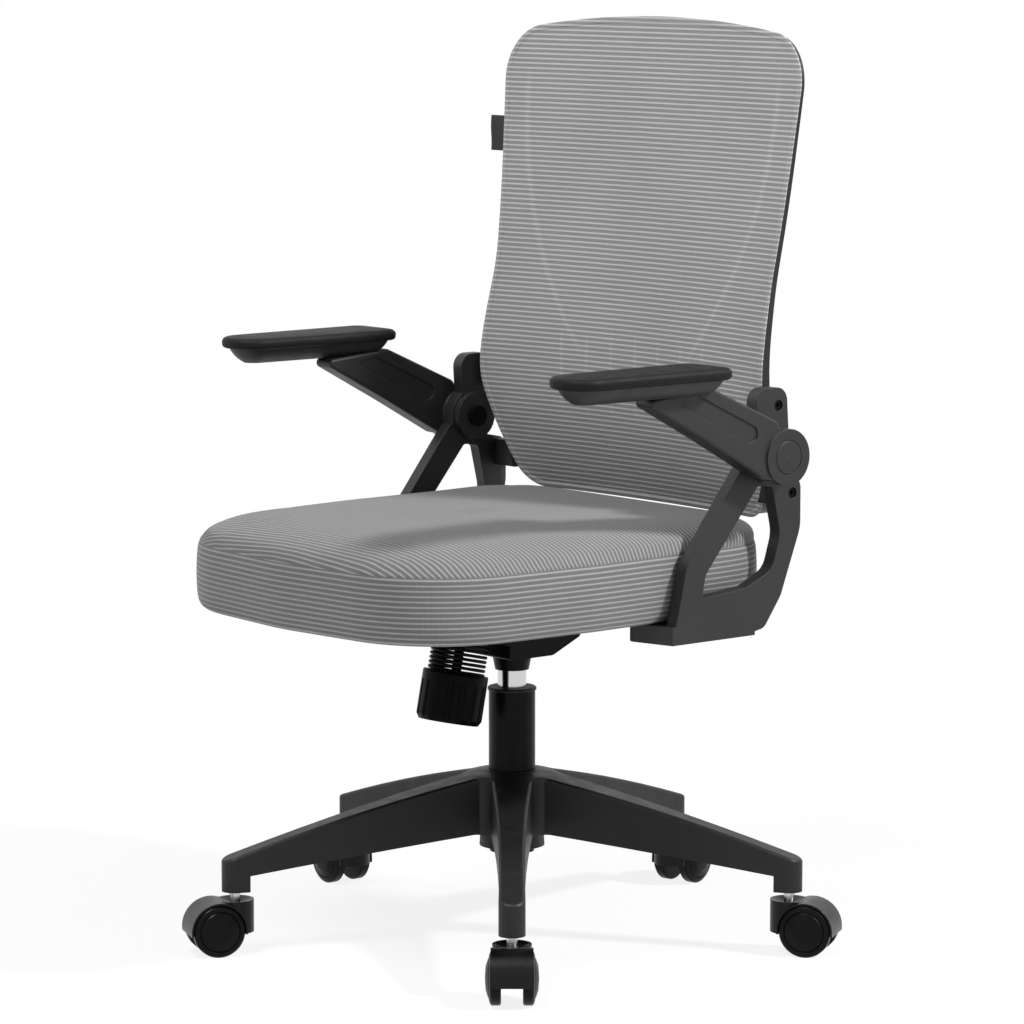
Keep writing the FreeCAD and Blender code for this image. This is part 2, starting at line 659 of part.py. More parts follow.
def hex_bolt(x, y, seat, length):
    """Bolt driven upwards, its hexagon head under the seat height."""
    corners = []
    for i in range(6):
        angle = math.radians(60 * i)
        corners.append(V(x + FASTENER_HEAD_RADIUS * math.cos(angle), y + FASTENER_HEAD_RADIUS * math.sin(angle), seat))
    head = slab(Part.makePolygon(corners + corners[:1]), V(0, 0, -BOLT_HEAD))
    return head.fuse(rod(FASTENER_RADIUS, V(x, y, seat), V(x, y, seat + length)))


def seat_bolts():
    length = PLATE_THICKNESS + PAN_THICKNESS * 0.75
    return Part.makeCompound([hex_bolt(x, y, PLATE_BOTTOM, length) for x, y in seat_bolt_places()])


def tension_bolt():
    place, down = bolt_axis()
    top = place - down * 60
    shank = rod(BOLT_RADIUS, top, place + down * BOLT_LENGTH)
    collar = rod(BOLT_RADIUS + 5, top, place - down * (PLATE_BOTTOM - place.z - 8))
    return shank.fuse(collar).common(box(-50, 50, -300, 100, 0, PLATE_BOTTOM))


def spring_length():
    return SPRING_PITCH * SPRING_TURNS + SPRING_WIRE * 2


def tension_spring():
    """Open helix of round wire on biarcs of a half turn."""
    place, down = bolt_axis()
    coil = SPRING_OUTER - SPRING_WIRE
    steps = SPRING_TURNS * 4
    points = []
    for i in range(steps * 2 + 1):
        angle = math.pi * i / 4
        drop = SPRING_WIRE + SEAT_FIT + SPRING_PITCH * angle / (2 * math.pi)
        points.append(V(coil * math.cos(angle), coil * math.sin(angle), -drop))
    edges = [Part.Arc(points[2 * i], points[2 * i + 1], points[2 * i + 2]).toShape() for i in range(steps)]
    path = Part.Wire(edges)
    tangent = edges[0].tangentAt(edges[0].FirstParameter)
    section = Part.Wire(Part.makeCircle(SPRING_WIRE, points[0], tangent))
    spring = path.makePipeShell([section], True, False)
    least = min((points[i] - points[i + 8]).Length for i in range(len(points) - 8)) - 2 * SPRING_WIRE
    print("least gap between spring turns", round(least, 2))
    spring.Placement = FreeCAD.Placement(place, FreeCAD.Rotation(UP, down * -1))
    return spring


def along_bolt(shape):
    """Moves a shape made downwards from the origin onto the tension bolt."""
    place, down = bolt_axis()
    shape.Placement = FreeCAD.Placement(place, FreeCAD.Rotation(UP, down * -1)).multiply(shape.Placement)
    return shape


def plate_drop():
    return SEAT_FIT + spring_length() + SEAT_FIT


def spring_plate():
    drop = plate_drop()
    return along_bolt(turned((
        (BOLT_RADIUS + RUN, -drop), (SPRING_OUTER, -drop), (SPRING_OUTER, -drop - SPRING_PLATE),
        (BOLT_RADIUS + RUN, -drop - SPRING_PLATE),
    )))


def tension_knob():
    """Fluted hand knob with a rim that hides the foot of the spring."""
    floor = plate_drop() + SPRING_PLATE + SEAT_FIT
    top = -floor + KNOB_RIM
    bottom = top - KNOB_HEIGHT
    body = turned((
        (BOLT_RADIUS + RUN, -floor), (SPRING_OUTER + GAP, -floor), (SPRING_OUTER + GAP, top),
        (KNOB_RADIUS - 0.5, top), (KNOB_RADIUS, top - 2), (KNOB_RADIUS, bottom + KNOB_CHAMFER),
        (KNOB_RADIUS - KNOB_CHAMFER * 0.6, bottom), (BOLT_RADIUS + RUN, bottom),
    ))
    flutes = []
    for i in range(KNOB_FLUTES):
        angle = 2 * math.pi * i / KNOB_FLUTES
        centre = V(math.cos(angle), math.sin(angle), 0) * (KNOB_RADIUS + KNOB_FLUTE_RADIUS * 0.45)
        flutes.append(rod(KNOB_FLUTE_RADIUS, centre + V(0, 0, bottom - 1), centre + V(0, 0, -floor - 2)))
    return along_bolt(body.cut(Part.makeCompound(flutes)))


def lock_slide():
    """Bar on the lever rod that moves sideways to lock the tilt."""
    start = GAP + HOUSING_WALL - HOUSING_WIDTH / 2
    half = LOCK_HEIGHT / 2
    bar = box(start, start + LOCK_WIDTH, -LEVER_Y - half, half - LEVER_Y, LEVER_Z - half, LEVER_Z + half)
    return bar.cut(rod(LEVER_RADIUS + RUN, V(start - 1, -LEVER_Y, LEVER_Z), V(start + LOCK_WIDTH + 1, -LEVER_Y, LEVER_Z)))


def lift_lever():
    """Steel rod with a flat tab over the valve pin."""
    shaft = rod(LEVER_RADIUS, V(-LEVER_REACH, -LEVER_Y, LEVER_Z), V(LEVER_TAB / 2, -LEVER_Y, LEVER_Z))
    low = VALVE_TOP + GAP
    tab = [
        V(-LEVER_TAB / 2, -LEVER_Y, low), V(LEVER_TAB / 2, -LEVER_Y, low),
        V(LEVER_TAB / 2, VALVE_RADIUS + 1, low), V(-LEVER_TAB / 2, VALVE_RADIUS + 1, low),
    ]
    tab = slab(rounded(tab, [0, 0, 4.0, 4.0]), V(0, 0, 4.0))
    return shaft.fuse(tab)


def lever_grip():
    """Flat paddle moulded on the end of the lever rod."""
    end = -LEVER_REACH - 4
    start = end + GRIP_LENGTH
    low = LEVER_Z - GRIP_THICKNESS / 2 - 1
    outline = [
        V(start, -LEVER_Y + 9, low), V(end, -LEVER_Y + 9, low),
        V(end, -LEVER_Y - GRIP_REACH, low), V(start + 8, -LEVER_Y - GRIP_REACH * 0.55, low),
    ]
    paddle = slab(rounded(outline, [7.0, 7.0, 14.0, 16.0]), V(0, 0, GRIP_THICKNESS + 2))
    return paddle.cut(rod(LEVER_RADIUS, V(-LEVER_REACH, -LEVER_Y, LEVER_Z), V(start + 20, -LEVER_Y, LEVER_Z)))


def seat_outline(inset, height):
    """Plan of the seat, drawn in by the inset, at a height above the pan's underside."""
    half = SEAT_WIDTH / 2 - inset
    front = SEAT_FRONT - inset
    rear = SEAT_REAR - inset
    z = PAN_BOTTOM + height
    corners = [
        V(0, -front - 8, z), V(half - 10, -front + 10, z), V(half, -front * 0.25, z), V(half - 8, rear, z),
        V(8 - half, rear, z), V(-half, -front * 0.25, z), V(10 - half, -front + 10, z),
    ]
    front_corner = max(SEAT_FRONT_CORNER - inset * 0.8, 20)
    rear_corner = max(SEAT_REAR_CORNER - inset * 0.8, 16)
    return rounded(corners, [260, front_corner, 300, rear_corner, rear_corner, 300, front_corner])


def seat_pan():
    pan = slab(seat_outline(PAN_INSET, 0), V(0, 0, PAN_THICKNESS))
    for x, y in seat_bolt_places() + foot_bolt_places():
        pan = pan.cut(rod(FASTENER_RADIUS, V(x, y, PAN_BOTTOM - 1), V(x, y, PAN_BOTTOM + PAN_THICKNESS * 0.75)))
    return pan


def seat_cushion():
    """Foam cushion with drawn-in sides, a seam edge and a crowned top, let down over the pan."""
    stations = [(12.0, 0.0), (6.0, 2.2), (2.5, 6.5), (0.8, 13.0), (0.0, SEAM_HEIGHT * 0.55), (1.0, SEAM_HEIGHT * 0.82)]
    for degrees in (0, 8, 16, 26, 36, 48, 60, 75, 90):
        turn = math.radians(degrees)
        inset = SEAM_INSET + (CROWN_INSET - SEAM_INSET) * (1 - math.cos(turn))
        stations.append((inset, SEAM_HEIGHT + SEAT_CROWN * math.sin(turn) ** 0.7))
    cushion = Part.makeLoft([seat_outline(inset, height) for inset, height in stations], True, True)
    return cushion.cut(slab(seat_outline(PAN_INSET, -1), V(0, 0, PAN_THICKNESS + 1)))


def foot_bolt_places():
    x = BRACKET_OUTER - FOOT_REACH + 14
    return [(side * x, y) for side in (-1, 1) for y in (32.0, 98.0)]


def bracket_bolts():
    length = FOOT_HEIGHT + PAN_THICKNESS * 0.75
    return Part.makeCompound([hex_bolt(x, y, PAN_BOTTOM - FOOT_HEIGHT, length) for x, y in foot_bolt_places()])


def back_level(height):
    """Place of the mesh edge at a height above the pan, between the points of the side view."""
    for low, high in zip(BACK_CURVE, BACK_CURVE[1:]):
        if height <= high[0]:
            share = (height - low[0]) / (high[0] - low[0])
            return low[1] + (high[1] - low[1]) * share
    return BACK_CURVE[-1][1]


def screw_places():
    """Places, as y and height, of the two screws that join a bracket to the back frame."""
    return [(back_level(h) + SCREW_SETBACK, h) for h in (119.0, 207.0)]


def arm_bracket():
    """Open side bracket: a foot under the seat, a loop beside it and a knuckle with two screw lobes."""
    x = BRACKET_INNER
    (low_y, low_z), (high_y, high_z) = screw_places()
    outline = [
        (5, -FOOT_HEIGHT), (12, 2), (25, 58), (102, 155), (KNUCKLE_Y + 12, KNUCKLE_HEIGHT - 20),
        (low_y + 11, low_z + 14), (176, 84), (150, 18), (128, -FOOT_HEIGHT + 6), (96, -FOOT_HEIGHT),
    ]
    loop = slab(rounded(side_view(outline, x), [4, 20, 20, 12, 10, 12, 40, 30, 12, 20]), V(BRACKET_THICKNESS, 0, 0))
    opening = [(119, 130), (50, 48), (45, 25), (104, 30), (138, 45), (149, 80), (138, 127)]
    loop = loop.cut(slab(rounded(side_view(opening, x - 1), [5, 16, 5, 20, 22, 30, 5]), V(BRACKET_THICKNESS + 2, 0, 0)))
    centre = V(x, KNUCKLE_Y, KNUCKLE_Z)
    knuckle = rod(KNUCKLE_RADIUS, centre, centre + V(BRACKET_THICKNESS, 0, 0))
    boss = rod(KNUCKLE_RADIUS - 3, centre - V(KNUCKLE_BOSS, 0, 0), centre)
    lobe = [
        (high_y - LOBE_RADIUS * 1.5, KNUCKLE_HEIGHT), (high_y + LOBE_RADIUS * 0.85, KNUCKLE_HEIGHT),
        (high_y + LOBE_RADIUS * 0.6, high_z + LOBE_RADIUS), (high_y - LOBE_RADIUS * 1.7, high_z + LOBE_RADIUS),
    ]
    lobe = slab(rounded(side_view(lobe, x), [0, 0, 14, 14]), V(BRACKET_THICKNESS, 0, 0))
    tip = BRACKET_OUTER - FOOT_REACH
    under = PAN_BOTTOM - FOOT_HEIGHT
    foot = [V(BRACKET_OUTER, 7, under), V(BRACKET_OUTER, 118, under), V(tip, 118, under), V(tip, 7 - FOOT_SWEEP, under)]
    foot = slab(rounded(foot, [1, 4, 12, 12]), V(0, 0, FOOT_HEIGHT))
    bracket = loop.multiFuse([knuckle, boss, lobe, foot])
    bracket = bracket.cut(rod(ARM_PIN_RADIUS, centre - V(20, 0, 0), centre + V(40, 0, 0)))
    for y, z in screw_places():
        start = V(x, y, PAN_BOTTOM + z)
        bracket = bracket.cut(rod(FASTENER_RADIUS, start - V(1, 0, 0), start + V(BRACKET_THICKNESS, 0, 0)))
        sunk = start + V(BRACKET_THICKNESS - BOLT_HEAD - 1.5, 0, 0)
        bracket = bracket.cut(rod(FASTENER_HEAD_RADIUS - 1, sunk, sunk + V(20, 0, 0)))
    for bolt_x, y in foot_bolt_places():
        bracket = bracket.cut(rod(FASTENER_RADIUS, V(bolt_x, y, 0), V(bolt_x, y, PAN_BOTTOM + 1)))
    return bracket.removeSplitter()


def arm_pivot_bolts():
    """Shoulder bolts that carry the arms, with their heads on the inner bosses."""
    inner = BRACKET_INNER - KNUCKLE_BOSS
    outer = ARM_INNER + HUB_THICKNESS - CAP_HEIGHT - 3
    centre = V(inner, KNUCKLE_Y, KNUCKLE_Z)
    head = rod(ARM_PIN_HEAD, centre - V(ARM_PIN_HEAD_HEIGHT, 0, 0), centre)
    pin = rod(ARM_PIN_RADIUS, centre, V(outer, KNUCKLE_Y, KNUCKLE_Z))
    return both_sides(head.fuse(pin))


def back_screws():
    screws = []
    for y, z in screw_places():
        head = V(BRACKET_OUTER - BOLT_HEAD - 1.5, y, PAN_BOTTOM + z)
        screw = rod(FASTENER_HEAD_RADIUS - 1.2, head, head + V(BOLT_HEAD, 0, 0))
        screw = screw.cut(rod(2.2, head + V(BOLT_HEAD - 2, 0, 0), head + V(BOLT_HEAD, 0, 0)))
        screws.append(screw.fuse(rod(FASTENER_RADIUS, head - V(BRACKET_THICKNESS + 4, 0, 0), head)))
    return both_sides(Part.makeCompound(screws))


def arm_beam():
    """Cranked beam from the knuckle to the pad, with a long recess in each side."""
    inner = ARM_INNER + (HUB_THICKNESS - ARM_THICKNESS) / 2
    centre = V(ARM_INNER, KNUCKLE_Y, KNUCKLE_Z)
    outline = [
        (-58, 227), (30, 235), (118, 196), (KNUCKLE_Y, KNUCKLE_HEIGHT + 12), (KNUCKLE_Y - 8, KNUCKLE_HEIGHT - 24),
        (100, 141), (30, 180),
    ]
    beam = slab(rounded(side_view(outline, inner), [5, 10, 8, 2, 2, 6, 200]), V(ARM_THICKNESS, 0, 0))
    long_edges = [e for e in beam.Edges if abs(e.tangentAt(e.FirstParameter).x) < 0.5 and e.CenterOfMass.y < 110]
    beam = beam.makeFillet(ARM_EDGE, long_edges)
    recess = [(-14, 222), (14, 228), (90, 192), (94, 179), (78, 177)]
    for x, depth in ((inner, ARM_GROOVE), (inner + ARM_THICKNESS, -ARM_GROOVE)):
        beam = beam.cut(slab(rounded(side_view(recess, x), [2, 3, 9, 8, 8]), V(depth, 0, 0)))
    hub = rod(KNUCKLE_RADIUS, centre, centre + V(HUB_THICKNESS, 0, 0))
    beam = beam.fuse(hub)
    outer = centre + V(HUB_THICKNESS, 0, 0)
    beam = beam.cut(rod(CAP_RADIUS, outer - V(CAP_HEIGHT, 0, 0), outer))
    return beam.cut(rod(ARM_PIN_RADIUS + RUN, centre - V(1, 0, 0), outer)).removeSplitter()


def pivot_cap():
    outer = V(ARM_INNER + HUB_THICKNESS, KNUCKLE_Y, KNUCKLE_Z)
    return turned((
        (0, -CAP_HEIGHT + SEAT_FIT), (CAP_RADIUS - SEAT_FIT, -CAP_HEIGHT + SEAT_FIT), (CAP_RADIUS - SEAT_FIT, -0.4),
        (CAP_RADIUS - 1.2, 0.4), (0, 0.8),
    ), outer, SIDEWAYS)


def pad_outline(inset, height):
    """Plan of an arm pad: a blunt rounded nose in front and small corners behind."""
    half = PAD_WIDTH / 2 - inset
    z = PAN_BOTTOM + height
    corners = [
        V(PAD_X - half + 4, inset - PAD_FRONT, z), V(PAD_X + half - 4, inset - PAD_FRONT, z),
        V(PAD_X + half, PAD_REAR - inset, z), V(PAD_X - half, PAD_REAR - inset, z),
    ]
    nose = half * 0.82
    return rounded(corners, [nose, nose, 12 - inset * 0.5, 12 - inset * 0.5])


def arm_pad():
    stations = ((2.5, 0.0), (0.0, 3.0), (0.0, PAD_THICKNESS - 5), (2.5, PAD_THICKNESS - 1.5), (8.0, PAD_THICKNESS))
    return Part.makeLoft([pad_outline(inset, PAD_HEIGHT + z) for inset, z in stations], True)


def pad_support():
    """Boat-shaped shell between the beam and the pad."""
    top = pad_outline(SUPPORT_INSET, PAD_HEIGHT)
    middle = pad_outline(SUPPORT_INSET + 4, PAD_HEIGHT - SUPPORT_DEPTH * 0.45)
    low = pad_outline(SUPPORT_INSET + 14, PAD_HEIGHT - SUPPORT_DEPTH)
    hull = Part.makeLoft([low, middle, top], True)
    return hull.cut(arm_beam())


def back_shell(offset, depth):
    """Solid between two curved sheets: it follows the back's side view and its hollow plan."""
    wires = []
    for height, edge, sag, frame_depth in BACK_CURVE:
        reach = BACK_HALF * 1.15
        thickness = frame_depth if depth is None else depth
        z = PAN_BOTTOM + height
        end = edge - sag * 0.32 + offset
        middle = edge + sag + offset
        front = Part.Arc(V(-reach, end, z), V(0, middle, z), V(reach, end, z)).toShape()
        right = Part.LineSegment(V(reach, end, z), V(reach, end + thickness, z)).toShape()
        rear = Part.Arc(
            V(reach, end + thickness, z), V(0, middle + thickness, z), V(-reach, end + thickness, z)
        ).toShape()
        left = Part.LineSegment(V(-reach, end + thickness, z), V(-reach, end, z)).toShape()
        wires.append(Part.Wire([front, right, rear, left]))
    return Part.makeLoft(wires, True)


def back_window(points, radii):
    """Prism through the back, from (x, height) points of its front view."""
    wire = rounded([V(x, 0, PAN_BOTTOM + z) for x, z in points], radii)
    return slab(wire, V(0, 400, 0))


def back_outline(inset):
    """Prism over the whole back, drawn in by the inset."""
    points = [(x, z) for x, z, r in BACK_OUTLINE]
    radii = [r for x, z, r in BACK_OUTLINE]
    left = [(-x, z) for x, z in reversed(points[:-1])]
    wire = rounded([V(x, 0, PAN_BOTTOM + z) for x, z in points + left], radii + list(reversed(radii[:-1])))
    if inset:
        wire = wire.makeOffset2D(-inset)
    return slab(wire, V(0, 400, 0))


def mirror_points(points):
    return points + [(-x, z) for x, z in reversed(points)]


def back_mesh():
    return back_shell(0, MESH_THICKNESS).common(back_outline(0))


def lumbar_outline(grow):
    low = BACK_HALF * 0.69 + grow
    high = BACK_HALF * 0.515 + grow
    return back_window(mirror_points([(low, 160 - grow), (high, 268 + grow)]), [10, 16, 16, 10])


def lumbar_support():
    """Curved plate behind the mesh with a row of upright slots."""
    plate = back_shell(MESH_THICKNESS + SEAT_FIT, LUMBAR_THICKNESS).common(lumbar_outline(0))
    slots = []
    for i in range(LUMBAR_SLOTS):
        x = (i - (LUMBAR_SLOTS - 1) / 2) * BACK_HALF * LUMBAR_SLOT_SHARE
        half = LUMBAR_SLOT_WIDTH / 2
        drop = 8 if abs(x) > BACK_HALF * 0.37 else 0
        slots.append(back_window(
            [(x - half, 172), (x + half, 172), (x + half, 256 - drop), (x - half, 256 - drop)], half * 0.9
        ))
    return plate.cut(Part.makeCompound(slots))


def back_frame():
    """Moulded ring with two curved struts, a cross member for the lumbar plate and ears for the brackets."""
    rail = RAIL_WIDTH
    half = STRUT_WIDTH / 2
    wide = BACK_HALF
    frame = back_shell(MESH_THICKNESS + SEAT_FIT, None).common(back_outline(FRAME_INSET))
    upper = mirror_points([
        (wide * 0.39 - half, 250), (wide * 0.596 - half, 296), (wide * 0.794 - half, 396), (wide * 0.872 - half, 516),
        (wide * 0.936 - rail, BACK_CORNER - rail),
    ])
    frame = frame.cut(back_window(upper, [8, 40, 60, 40, 12, 12, 40, 60, 40, 8]))
    side = [
        (wide * 0.972 - rail, 470), (wide * 0.826 + half, 410), (wide * 0.596 + half, 300), (wide * 0.422 + half, 236),
        (wide * 0.94 - rail, 236), (wide * 0.963 - rail, 325),
    ]
    window = back_window(side, [3, 60, 40, 8, 8, 100])
    frame = frame.cut(window).cut(mirrored(window))
    rib = back_shell(MESH_THICKNESS + SEAT_FIT + 1, RIB_DEPTH - 1).common(back_outline(FRAME_INSET + RIB_INSET))
    frame = frame.fuse(rib.cut(back_outline(FRAME_INSET + RIB_INSET + RIB_WIDTH)))
    lower = mirror_points([(wide * 0.734, BACK_BOTTOM + rail), (wide * 0.88, 180)])
    frame = frame.cut(back_window(lower, [20, 14, 14, 20]))
    recess = back_shell(0, MESH_THICKNESS + SEAT_FIT + LUMBAR_THICKNESS).common(lumbar_outline(0.5))
    frame = frame.cut(recess)
    ahead = SCREW_SETBACK * 4
    in_front = back_shell(-ahead, ahead + MESH_THICKNESS + SEAT_FIT * 3).common(back_outline(0))
    for y, z in screw_places():
        ear = [
            (y - SCREW_SETBACK + 3, z - 14), (y + 10, z - 14), (y + 10, z + 14), (y - SCREW_SETBACK + 3, z + 14),
        ]
        ear = slab(rounded(side_view(ear, BRACKET_INNER - EAR_REACH), [2, 6, 6, 2]), V(EAR_REACH, 0, 0))
        ear = ear.cut(in_front)
        frame = frame.fuse(ear).fuse(mirrored(ear))
        hole = rod(FASTENER_RADIUS, V(BRACKET_INNER - 10, y, PAN_BOTTOM + z), V(BRACKET_INNER + 1, y, PAN_BOTTOM + z))
        frame = frame.cut(hole).cut(mirrored(hole))
    return frame.removeSplitter()


def edge_tag():
    """Blank woven tag sewn to the edge of the mesh."""
    height = 455.0
    y = back_level(height)
    inner = -BACK_HALF - TAG_OFFSET
    tag = box(
        inner - TAG_WIDTH, inner, y + MESH_THICKNESS + SEAT_FIT, y + MESH_THICKNESS + SEAT_FIT + TAG_THICKNESS,
        PAN_BOTTOM + height - TAG_HEIGHT / 2, PAN_BOTTOM + height + TAG_HEIGHT / 2,
    )
    return tag.cut(back_shell(-TAG_WIDTH, TAG_WIDTH + MESH_THICKNESS + SEAT_FIT))


def save(name, shape):
    shape.exportStep("parts/" + name + ".step")


def save_pair(name, shape):
    save(name + "_left", shape)
    save(name + "_right", mirrored(shape))


def main():
    os.makedirs("parts", exist_ok=True)
    hood = caster_hood()
    pins = caster_pins()
    wheels = {"left": caster_wheel(1), "right": caster_wheel(-1)}
    for i, place in enumerate(caster_places()):
        pieces = {"hood": hood, "pins": pins, "wheel_left": wheels["left"], "wheel_right": wheels["right"]}
        for name, piece in pieces.items():
            copy = piece.copy()
            copy.Placement = place.multiply(copy.Placement)
            save("caster_%d_%s" % (i + 1, name), copy)
    for make in (
        star_base, stand_tube, guide_bush, thrust_bearing, retaining_clip, piston_rod, bump_stop, gas_cylinder,
        valve_pin, cone_socket, mechanism_housing, pivot_axle, lock_slide, lift_lever, lever_grip, seat_plate,
        tension_bolt, tension_spring, spring_plate, tension_knob, seat_pan, seat_cushion, seat_bolts,
        bracket_bolts, arm_pivot_bolts, back_frame, lumbar_support, back_mesh, back_screws, edge_tag,
    ):
        save(make.__name__, make())
    for make in (arm_bracket, arm_beam, pivot_cap, pad_support, arm_pad):
        save_pair(make.__name__, make())


main()
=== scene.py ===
"""Looks of the office chair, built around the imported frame. Metres, same axes as the frame."""
import math

import bpy
import numpy as np
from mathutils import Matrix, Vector
from mathutils.bvhtree import BVHTree


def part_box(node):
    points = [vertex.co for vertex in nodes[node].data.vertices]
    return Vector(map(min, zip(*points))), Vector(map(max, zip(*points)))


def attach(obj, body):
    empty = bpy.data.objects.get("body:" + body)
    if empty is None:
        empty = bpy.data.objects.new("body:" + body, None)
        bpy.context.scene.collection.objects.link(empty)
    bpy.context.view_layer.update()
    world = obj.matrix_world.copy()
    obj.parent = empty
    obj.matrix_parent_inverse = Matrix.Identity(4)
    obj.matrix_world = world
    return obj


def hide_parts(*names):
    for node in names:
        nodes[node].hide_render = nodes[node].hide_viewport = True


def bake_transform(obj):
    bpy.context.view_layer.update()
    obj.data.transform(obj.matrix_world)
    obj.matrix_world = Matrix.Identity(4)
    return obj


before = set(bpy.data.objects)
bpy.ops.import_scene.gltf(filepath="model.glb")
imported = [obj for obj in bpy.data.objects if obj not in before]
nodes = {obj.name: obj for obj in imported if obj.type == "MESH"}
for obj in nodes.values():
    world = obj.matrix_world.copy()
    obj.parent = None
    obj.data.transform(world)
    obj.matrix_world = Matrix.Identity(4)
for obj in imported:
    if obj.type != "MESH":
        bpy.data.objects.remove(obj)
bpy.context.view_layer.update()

MM = 0.001

# Places that the frame gives
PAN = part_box("seat_pan")[0].z

# Sizes shared with the part's source, in millimetres
SEAT_HALF = 219.0
SEAT_FRONT = 293.0
SEAT_REAR = 190.0
SEAT_FRONT_CORNER = 112.0
SEAT_REAR_CORNER = 92.0
BACK_BOTTOM = 86.0
BACK_OUTLINE = (
    (184.0, BACK_BOTTOM, 36.0),
    (218.0, 207.0, 120.0),
    (211.0, 325.0, 300.0),
    (229.0, 563.0, 54.0),
    (0.0, 592.8, 1350.0),
)
STRIPE = 5.05 * MM
KNIT = 0.0021
BOLT_LEAN = 11.7
BOLT_Y = 66.0
BOLT_DROP = 31.0
SPRING_OUTER = 29.0
SPRING_WIRE = 1.7
SPRING_PITCH = 4.5
SPRING_TURNS = 8
SEAT_FIT = 0.3

# Seat cover: middle of its top, the ring from which it counts as flat, and what its swelling may do
SEAT_MIDDLE_Y = -0.045
SEAT_FLAT_RING = 20
SEAM_HEIGHT = 67.0
HELD_BEHIND = 0.150
SWELL_LIMIT = 3.0 * MM
SWELL_FRAMES = 20
SWELL_PRESSURE = 4.0

# Back net and hem
NET_COLUMNS = 64
NET_ROWS = 130
NET_SET = 0.35 * MM
NET_THICKNESS = 0.0008
HEM_POINTS = 520

# Stage
FLOOR_HALF = 40.0
LIGHT_DISTANCE = 4.0
WORLD_SOFT = 0.16

# Camera that matches the photograph
CAM_AZIMUTH = 50.0
CAM_DISTANCE = 4.6271
CAM_HEIGHT = 1.0488
CAM_PITCH = 7.593
CAM_FOCAL = 163.55
CAM_SHIFT_Y = -0.00134


# Materials

class Shader:
    """Small helper that adds linked nodes to one material."""

    def __init__(self, name):
        self.mat = bpy.data.materials.new(name)
        self.mat.use_nodes = True
        self.tree = self.mat.node_tree
        self.tree.nodes.clear()
        self.out = self.add("ShaderNodeOutputMaterial")
        self.bsdf = self.add("ShaderNodeBsdfPrincipled")
        self.link(self.bsdf.outputs[0], self.out.inputs[0])
        self.where = self.add("ShaderNodeTexCoord").outputs["Object"]

    def add(self, kind, **settings):
        node = self.tree.nodes.new(kind)
        for key, value in settings.items():
            setattr(node, key, value)
        return node

    def link(self, a, b):
        self.tree.links.new(a, b)

    def put(self, socket, value):
        if isinstance(value, bpy.types.NodeSocket):
            self.link(value, socket)
        else:
            socket.default_value = value

    def math(self, kind, a, b=0.0, c=0.0, clamp=False):
        node = self.add("ShaderNodeMath", operation=kind, use_clamp=clamp)
        for socket, value in zip(node.inputs, (a, b, c)):
            self.put(socket, value)
        return node.outputs[0]

    def axis(self, letter):
        split = self.add("ShaderNodeSeparateXYZ")
        self.link(self.where, split.inputs[0])
        return split.outputs[letter]

    def place(self, name):
        """Place along an axis, or along the cloth where the mesh keeps it."""
        if name in "XYZ":
            return self.axis(name)
        return self.add("ShaderNodeAttribute", attribute_name=name).outputs["Fac"]

    def noise(self, scale, detail=2.0, stretch=None):
        node = self.add("ShaderNodeTexNoise")
        node.inputs["Scale"].default_value = scale
        node.inputs["Detail"].default_value = detail
        where = self.where
        if stretch:
            mapping = self.add("ShaderNodeMapping")
            mapping.inputs["Scale"].default_value = stretch
            self.link(where, mapping.inputs["Vector"])
            where = mapping.outputs[0]
        self.link(where, node.inputs["Vector"])
        return node.outputs["Fac"]

    def spread(self, value, low, high, a=0.3, b=0.7):
        node = self.add("ShaderNodeMapRange")
        for socket, v in zip(list(node.inputs)[:5], (value, a, b, low, high)):
            self.put(socket, v)
        return node.outputs[0]

    def ramp(self, value, dark, light, a=0.3, b=0.7):
        node = self.add("ShaderNodeValToRGB")
        node.color_ramp.elements[0].position = a
        node.color_ramp.elements[1].position = b
        node.color_ramp.elements[0].color = (*dark, 1)
        node.color_ramp.elements[1].color = (*light, 1)
        self.link(value, node.inputs[0])
        return node.outputs[0]

    def mix(self, factor, a, b):
        node = self.add("ShaderNodeMix", data_type="RGBA")
        self.put(node.inputs[0], factor)
        self.put(node.inputs[6], a if isinstance(a, bpy.types.NodeSocket) else (*a, 1))
        self.put(node.inputs[7], b if isinstance(b, bpy.types.NodeSocket) else (*b, 1))
        return node.outputs[2]

    def bump(self, height, strength, depth, edge=0.0):
        """Fine relief, on edges that look rounded by the given radius."""
        node = self.add("ShaderNodeBump")
        node.inputs["Strength"].default_value = strength
        node.inputs["Distance"].default_value = depth
        self.link(height, node.inputs["Height"])
        if edge:
            soft = self.add("ShaderNodeBevel", samples=4)
            soft.inputs["Radius"].default_value = edge
            self.link(soft.outputs[0], node.inputs["Normal"])
        self.link(node.outputs[0], self.bsdf.inputs["Normal"])

    def set(self, **values):
        for key, value in values.items():
            self.put(self.bsdf.inputs[key.replace("_", " ")], value)
        return self.mat


def moulded(name, dark, light, rough, grain=1400.0, depth=0.00006, shine=0.5, edge=0.0015):
    """Moulded plastic with a spark-eroded grain and slight flow marks."""
    s = Shader(name)
    s.bsdf.inputs["Specular IOR Level"].default_value = shine
    flow = s.noise(9.0, 3.0)
    fine = s.noise(grain, 2.0)
    s.bump(fine, 0.35, depth, edge)
    return s.set(
        Base_Color=s.ramp(flow, (dark,) * 3, (light,) * 3),
        Roughness=s.spread(s.noise(60.0, 4.0), rough - 0.05, rough + 0.06),
    )


def metal(name, tone, rough, stretch):
    """Drawn metal with fine lines along one direction."""
    s = Shader(name)
    lines = s.noise(160.0, 3.0, stretch)
    s.bump(lines, 0.08, 0.00002)
    return s.set(
        Base_Color=s.ramp(lines, (tone * 0.9,) * 3, (tone,) * 3),
        Metallic=1.0,
        Roughness=s.spread(lines, rough * 0.8, rough * 1.3),
    )


